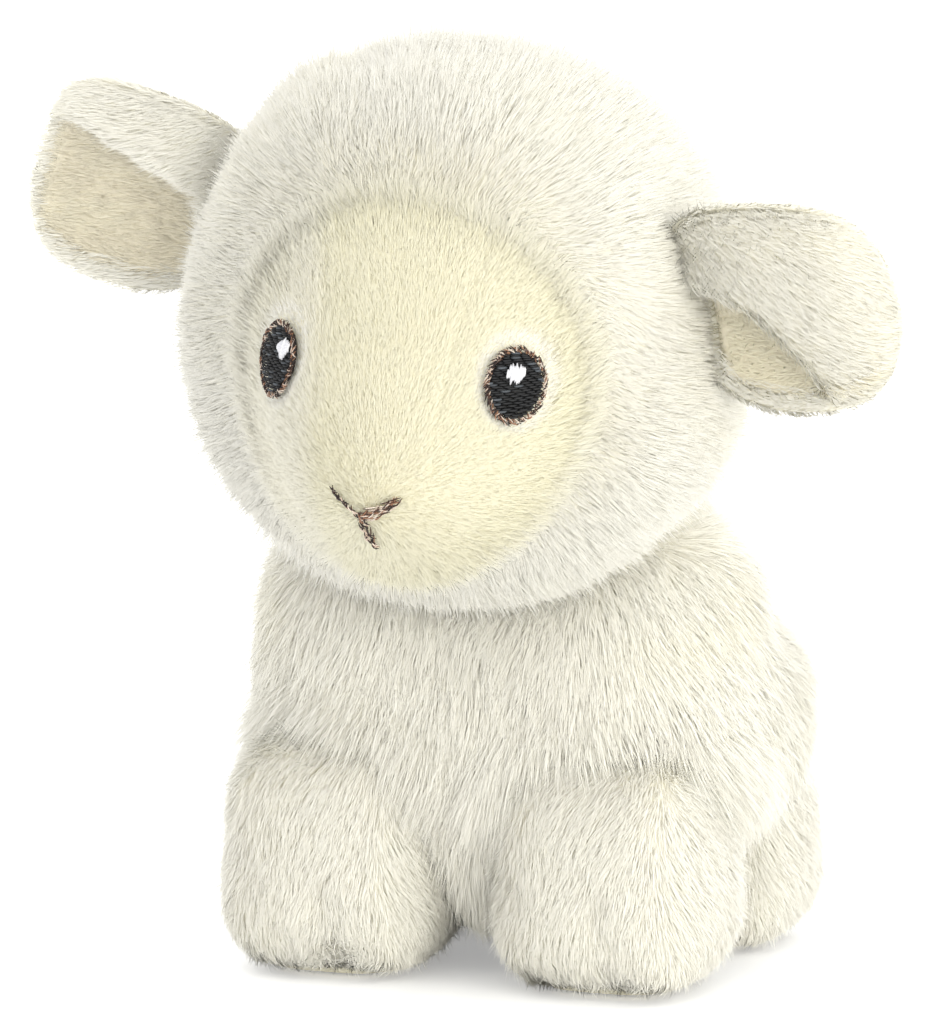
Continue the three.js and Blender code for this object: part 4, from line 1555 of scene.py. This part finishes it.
class LAMB_OT_body(bpy.types.Operator):
    """Body cover with its wool"""

    bl_idname = "lamb.body"
    bl_label = "Body"

    def execute(self, context):
        skin = self.cover()
        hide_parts("body_cover")
        attach(skin, "body")
        self.wool(coat_settings(), skin)
        return {"FINISHED"}

    def cover(self):
        """The cover, with its keel, its bulge over the front legs and the hollow that the head sits in."""
        directions, faces = ball_directions(5)
        room = SWELL_ROOM - lumps(directions, "body")
        points = BODY.surface(directions, BODY_SINK + room)
        points[:, 2] -= keel(points)
        points[:, 1] -= LEG_BULGE * over_legs(points) * smooth(-directions[:, 1], 0.5, 0.8)
        from_head = points - HEAD_CENTRE
        hollow = HEAD_RADIUS - HEAD_SEAT
        pushed = np.linalg.norm(from_head, axis=1) < hollow
        points[pushed] = HEAD_CENTRE + unit(from_head[pushed]) * hollow
        held = pushed | (depth_in_legs(points) > 1.0) | on_back_seam(directions)
        return new_piece("body_cover_skin", swell(points, faces, held), faces, finish(wool_backing))

    def wool(self, coat, skin):
        """Wool that is brushed down the sides and back along the top, longer over the front legs."""

        def weight(points):
            in_head = np.linalg.norm(points - HEAD_CENTRE, axis=1) - HEAD_RADIUS < -0.2
            hidden = in_head | (depth_in_legs(points) > LEG_TOP_HIDDEN)
            return ~hidden * (1 + 0.6 * over_legs(points))

        roots, normals = scatter(skin, coat.density, weight, np.random.default_rng(SEED + 80))
        top = smooth(normals[:, 2], 0.5, 0.95)[:, None]
        heading = np.array([0, 0.35, -1.0]) * (1 - top) + np.array([0, 1.0, -0.3]) * top
        chest = smooth(-normals[:, 1], 0.3, 0.8) * smooth(52 - roots[:, 2], 0, 20)
        length = coat.wool_length / MM * (1 + 0.15 * chest + 0.3 * over_legs(roots))
        shade = 0.4 + clouds(roots, 0.3, 18, 41) + clouds(roots, 0.15, 7, 42)
        for piece in grow("body_wool", roots, normals, heading, length, shade, finish(wool_pile), SEED + 6,
                          width=coat.strand_width / MM, loose=0.08 + 0.35 * over_legs(roots),
                          facing=lit_as(normals, BODY_FACING), keep=clear_of_others):
            attach(piece, "body")


def keel(points):
    """How far the belly hangs down between the front legs."""
    aside = np.exp(-((points[:, 0] - BODY_CENTRE[0]) / KEEL_HALF) ** 2)
    front = smooth(BODY_CENTRE[1] - points[:, 1], -8, 8)
    return KEEL_DEPTH * aside * front * smooth(KEEL_TOP - points[:, 2], 0, 12)


def depth_in_legs(points, ends=tuple(LEGS)):
    """How deep each point lies in the nearest leg."""
    return np.max([form.depth(points) for (end, _), form in LEG_FORMS.items() if end in ends], axis=0)


def over_legs(points):
    """1 on the chest just over the front legs, and 0 away from there."""
    return smooth(depth_in_legs(points, ("front",)), -7, -1) * smooth(points[:, 2], 22, 30)


def clear_of_others(levels):
    """The strands whose tips stay out of the head's ball and out of the filling of the legs."""
    tips = levels[2]
    return (np.linalg.norm(tips - HEAD_CENTRE, axis=1) > HEAD_RADIUS - 1.5) & (depth_in_legs(tips) < 3.6)


class LAMB_OT_legs(bpy.types.Operator):
    """Legs with their wool and soles"""

    bl_idname = "lamb.legs"
    bl_label = "Legs"

    def execute(self, context):
        for (end, side), form in LEG_FORMS.items():
            self.leg(end, side, form)
        return {"FINISHED"}

    def leg(self, end, side, form):
        name = f"leg_{end}_{side}"
        pivot = joint_place(f"{name}_swing")
        seam = ("body", name, *(pivot + np.array(place) for place in LEG_SEAM))
        skin = self.cover(name, form, SIDES[side])
        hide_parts(f"{name}_cover")
        rng = np.random.default_rng(SEED + 100 + list(LEG_FORMS).index((end, side)))
        self.wool(coat_settings(), name, form, skin, seam, rng)
        self.sole(name, form)
        attach(skin, blend=seam)

    def cover(self, name, form, sign):
        directions, faces = ball_directions(4)
        room = SWELL_ROOM - lumps(directions, "leg", 9 * sign)
        points = form.surface(directions, LEG_SINK + room)
        points = swell(points, faces, (BODY.depth(points) > 1) | (points[:, 2] < 1.2))
        points[:, 2] = np.maximum(points[:, 2], 0.5)
        return new_piece(f"{name}_skin", points, faces, finish(wool_backing))

    def wool(self, coat, name, form, skin, seam, rng):
        """Wool that is brushed forward and down, and is shorter near the ground."""

        def weight(points):
            return (BODY.depth(points) < BODY_HIDDEN) * smooth(points[:, 2], 0.7, 1.3)

        roots, normals = scatter(skin, coat.density * LEG_CLOSER, weight, rng)
        height = roots[:, 2]
        onward = 1 - smooth(np.abs(normals[:, 0]), 0.35, 0.75)
        heading = np.stack([0 * onward, 0.35 - 1.1 * onward, -1 + 0 * onward], 1)
        heading += 0.2 * (roots - form.centre) / 15 * np.array([1, 1, 0])
        length = coat.wool_length / MM * (LEG_WOOL - 0.1 * smooth(12 - height, 0, 5))
        length = np.minimum(length, 0.5 + 0.8 * height)
        shade = 0.3 + clouds(roots, 0.25, 13, 51)
        for piece in grow(f"{name}_wool", roots, normals, heading, length, shade, finish(wool_pile), SEED + 8,
                          width=coat.strand_width / MM, facing=lit_as(normals, LEG_FACING)):
            attach(piece, blend=seam)

    def sole(self, name, form):
        rings, around = 7, 40
        turn = circle(around)
        flat = np.stack([np.cos(turn), np.sin(turn), np.zeros(around)], 1)
        half = np.array([LEG_HALF_WIDTH, SOLE_HALF_LENGTH, 1.0])
        outline = flat * (plump(flat, half, LEG_POWER) * SOLE_SHARE)[:, None]
        share = np.linspace(0, 1, rings + 1)[1:, None, None]
        low = form.centre * (1, 1, 0) + outline * share
        top = low.copy()
        low[..., 2] = SOLE_LOW + SOLE_ROUND * (share[..., 0] ** 4)
        top[..., 2] = SOLE_TOP
        points = np.concatenate([low.reshape(-1, 3), top.reshape(-1, 3)])
        size = rings * around
        bottom = grid_faces(rings, around, True) + [tuple(range(around))]
        faces = shell_faces(bottom, list(range(size - around, size)), size, True)
        piece = new_piece(f"{name}_sole_pad", points, faces, finish(face_backing))
        fix_normals(piece)
        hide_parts(f"{name}_sole")
        attach(piece, name)


class LAMB_OT_tail(bpy.types.Operator):
    """Tail with its wool"""

    bl_idname = "lamb.tail"
    bl_label = "Tail"

    def execute(self, context):
        coat = coat_settings()
        directions, faces = ball_directions(4)
        points = TAIL.surface(directions, TAIL_SINK)
        points = swell(points, faces, BODY.depth(points) > 0.5)
        skin = new_piece("tail_skin", points, faces, finish(wool_backing))
        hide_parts("tail")
        seam = ("body", "tail", *(TAIL_ROOT + np.array(place) for place in TAIL_SEAM))

        def weight(points):
            return (BODY.depth(points) < 2.0).astype(float)

        roots, normals = scatter(skin, coat.density * TAIL_CLOSER, weight, np.random.default_rng(SEED + 120))
        heading = np.broadcast_to(np.array([0, 0.2, -1.0]), roots.shape)
        shade = 0.4 + clouds(roots, 0.3, 8, 61)
        length = np.full(len(roots), coat.wool_length / MM * TAIL_WOOL)
        for piece in grow("tail_wool", roots, normals, heading, length, shade, finish(wool_pile), SEED + 10,
                          width=coat.strand_width / MM, lean=(25, 60)):
            attach(piece, blend=seam)
        attach(skin, blend=seam)
        return {"FINISHED"}


# Filling

def node_surface(node):
    """A CAD node's points in millimetres, and its faces."""
    points = np.array([(node.matrix_world @ v.co)[:] for v in node.data.vertices]) / MM
    return points, [tuple(face.vertices) for face in node.data.polygons]


class LAMB_OT_filling(bpy.types.Operator):
    """Loose filling, the pouch and its pellets, and the sewing thread"""

    bl_idname = "lamb.filling"
    bl_label = "Filling"

    def execute(self, context):
        nodes = frame["nodes"]
        for name in sorted(nodes):
            if name.endswith("_stuffing"):
                self.soft_copy(nodes[name], filling_fibre, "fibre_filling", 0.7, 0.45)
        self.soft_copy(nodes["pellet_pouch"], pouch_cloth, "pouch_cloth", 0.5, 0.2)
        self.beads(nodes["pellet_fill"])
        for name in ("neck_seam", "closing_seam"):
            for place in nodes[name].material_slots:
                place.material = finish(seam_thread)
        return {"FINISHED"}

    def soft_copy(self, node, look, slot, fill, height):
        """A lumpy copy of a filled solid, a little smaller than it."""
        points, faces = node_surface(node)
        rough = new_piece(f"{node.name}_rough", points, faces, finish(look))
        remesh = rough.modifiers.new("remesh", "REMESH")
        remesh.mode, remesh.voxel_size = "VOXEL", FILLING_GRAIN * MM
        even = bpy.data.meshes.new_from_object(rough.evaluated_get(bpy.context.evaluated_depsgraph_get()))
        bpy.data.objects.remove(rough)
        piece = bpy.data.objects.new(f"{node.name}_lumps", even)
        bpy.context.scene.collection.objects.link(piece)
        points, normals, _ = surface_of(piece)
        sunk = 0.15 + height * (0.5 + 0.5 * drift(points, 5.0, 71)[:, 0])
        even.vertices.foreach_set("co", ((points - normals * sunk[:, None]) * MM).ravel())
        even.polygons.foreach_set("use_smooth", [True] * len(even.polygons))
        even.update()
        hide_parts(node.name)
        attach(piece, node["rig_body"])

    def beads(self, node):
        """Plastic pellets packed loosely in the space of their node."""
        points, faces = node_surface(node)
        tree = BVHTree.FromPolygons(points.tolist(), faces)
        low, high = points.min(0), points.max(0)
        counts = [np.arange(0, n) for n in np.ceil((high - low) / PELLET_STEP)]
        cells = np.stack(np.meshgrid(*counts, indexing="ij"), -1).reshape(-1, 3)
        middles = low + (cells + 0.5 + 0.1 * (lattice(cells, SEED) - 0.5)) * PELLET_STEP
        ball, ball_faces = ball_directions(2)
        kept = []
        for middle in middles:
            place, normal, _, distance = tree.find_nearest(Vector(middle))
            if (Vector(middle) - place).dot(normal) < 0 and distance > PELLET_RADIUS:
                kept.append(middle)
        points = (np.array(kept)[:, None] + ball * PELLET_RADIUS).reshape(-1, 3)
        faces = repeat_faces(ball_faces, len(kept), len(ball))
        piece = new_piece("pellets", points, faces, finish(pellet_plastic))
        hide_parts(node.name)
        attach(piece, node["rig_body"])


# Stage

def looked_at(tree):
    """1 for what is looked at, straight, in a reflection or through glass, and 0 for what only lights."""
    path = add_node(tree, "ShaderNodeLightPath", output="Is Camera Ray")
    return path + path.output("Is Glossy Ray") + path.output("Is Transmission Ray")


class LAMB_OT_stage(bpy.types.Operator):
    """Pale floor, soft light and the camera"""

    bl_idname = "lamb.stage"
    bl_label = "Stage"

    def execute(self, context):
        settings = context.scene.lamb_stage
        turn, rise = settings.azimuth, settings.elevation
        back = Vector((math.sin(turn) * math.cos(rise), -math.cos(turn) * math.cos(rise), math.sin(rise)))
        right = Vector((math.cos(turn), math.sin(turn), 0))
        up = back.cross(right)
        self.camera(context, settings, back, right, up)
        for name, ((aside, near, over), size, power, colour) in LAMPS.items():
            place = right * aside + back * near + up * over
            self.lamp(name, place, size, getattr(settings, power), colour)
        self.floor()
        self.sky(context, settings.sky)
        context.scene.view_settings.view_transform = "Standard"
        return {"FINISHED"}

    def camera(self, context, settings, back, right, up):
        data = bpy.data.cameras.new("camera")
        camera = bpy.data.objects.new("camera", data)
        context.scene.collection.objects.link(camera)
        camera.location = Vector(HEAD_CENTRE * MM) + right * CAMERA_ASIDE * MM - up * CAMERA_DROP * MM
        camera.location += back * settings.distance
        camera.rotation_mode = "QUATERNION"
        camera.rotation_quaternion = (-back).to_track_quat("-Z", "Y")
        data.sensor_width = SENSOR
        data.lens = SENSOR * settings.focal_share
        data.clip_start, data.clip_end = 0.05, 20.0
        context.scene.camera = camera

    def lamp(self, name, place, size, power, colour):
        data = bpy.data.lights.new(name, "AREA")
        data.shape, data.size, data.energy, data.color = "DISK", size, power, colour
        lamp = bpy.data.objects.new(name, data)
        lamp.location = place + Vector(LAMP_AIM)
        lamp.rotation_mode = "QUATERNION"
        lamp.rotation_quaternion = place.to_track_quat("Z", "Y")
        bpy.context.scene.collection.objects.link(lamp)

    def floor(self):
        points = [(x * FLOOR_HALF, y * FLOOR_HALF, 0) for x, y in ((-1, -1), (1, -1), (1, 1), (-1, 1))]
        look = Finish("floor_paint", Roughness=0.9, Specular_IOR_Level=0.1)
        grain = look.noise(look.node("ShaderNodeTexCoord", {}, {}, "Object"), 40.0)
        look.feed("Base Color", look.mix(grain, (0.93, 0.93, 0.93), (0.96, 0.96, 0.96)))
        strength = looked_at(look.tree) * FLOOR_GLOW
        glow = look.node("ShaderNodeEmission", {}, {"Color": (1, 1, 1, 1), "Strength": strength})
        both = look.node("ShaderNodeAddShader", {}, {0: Socket(look.tree, look.shader.outputs[0]), 1: glow})
        output = next(n for n in look.tree.nodes if n.type == "OUTPUT_MATERIAL")
        look.tree.links.new(both.socket, output.inputs["Surface"])
        floor = new_piece("floor", points, [(0, 1, 2, 3)], look.material, False)
        floor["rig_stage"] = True

    def sky(self, context, strength):
        world = bpy.data.worlds.new("sky")
        context.scene.world = world
        world.use_nodes = True
        tree = world.node_tree
        background = next(n for n in tree.nodes if n.type == "BACKGROUND")
        level = looked_at(tree).at_most(1.0) * (1 - strength) + strength
        tree.links.new(level.socket, background.inputs["Strength"])
        background.inputs["Color"].default_value = (1, 1, 1, 1)


class LAMB_PT_panel(bpy.types.Panel):
    """Lists the lamb's pieces and settings"""

    bl_idname = "LAMB_PT_panel"
    bl_label = "Stuffed lamb"
    bl_space_type = "VIEW_3D"
    bl_region_type = "UI"
    bl_category = "Lamb"

    def draw(self, context):
        layout = self.layout
        for operator in OPERATORS:
            layout.operator(operator.bl_idname)
        for group in SETTINGS:
            box = layout.box()
            settings = getattr(context.scene, group)
            for name in settings.bl_rna.properties.keys():
                if name not in ("rna_type", "name"):
                    box.prop(settings, name)


SETTINGS = {"lamb_coat": LambCoat, "lamb_stitching": LambStitching, "lamb_stage": LambStage}
OPERATORS = (LAMB_OT_stage, LAMB_OT_head, LAMB_OT_face, LAMB_OT_eyes, LAMB_OT_mouth, LAMB_OT_ears,
             LAMB_OT_body, LAMB_OT_legs, LAMB_OT_tail, LAMB_OT_filling)


def register():
    for cls in (*SETTINGS.values(), *OPERATORS, LAMB_PT_panel):
        bpy.utils.register_class(cls)
    for name, group in SETTINGS.items():
        setattr(bpy.types.Scene, name, PointerProperty(type=group))


def unregister():
    for name in SETTINGS:
        delattr(bpy.types.Scene, name)
    for cls in reversed((*SETTINGS.values(), *OPERATORS, LAMB_PT_panel)):
        bpy.utils.unregister_class(cls)


def main():
    register()
    for operator in OPERATORS:
        area, name = operator.bl_idname.split(".")
        getattr(getattr(bpy.ops, area), name)()
    boxes = {"cad": CAD_BOX, "visual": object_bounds()}
    {name: [list(low), list(high)] for name, (low, high) in boxes.items()}


if __name__ == "__main__":
    main()
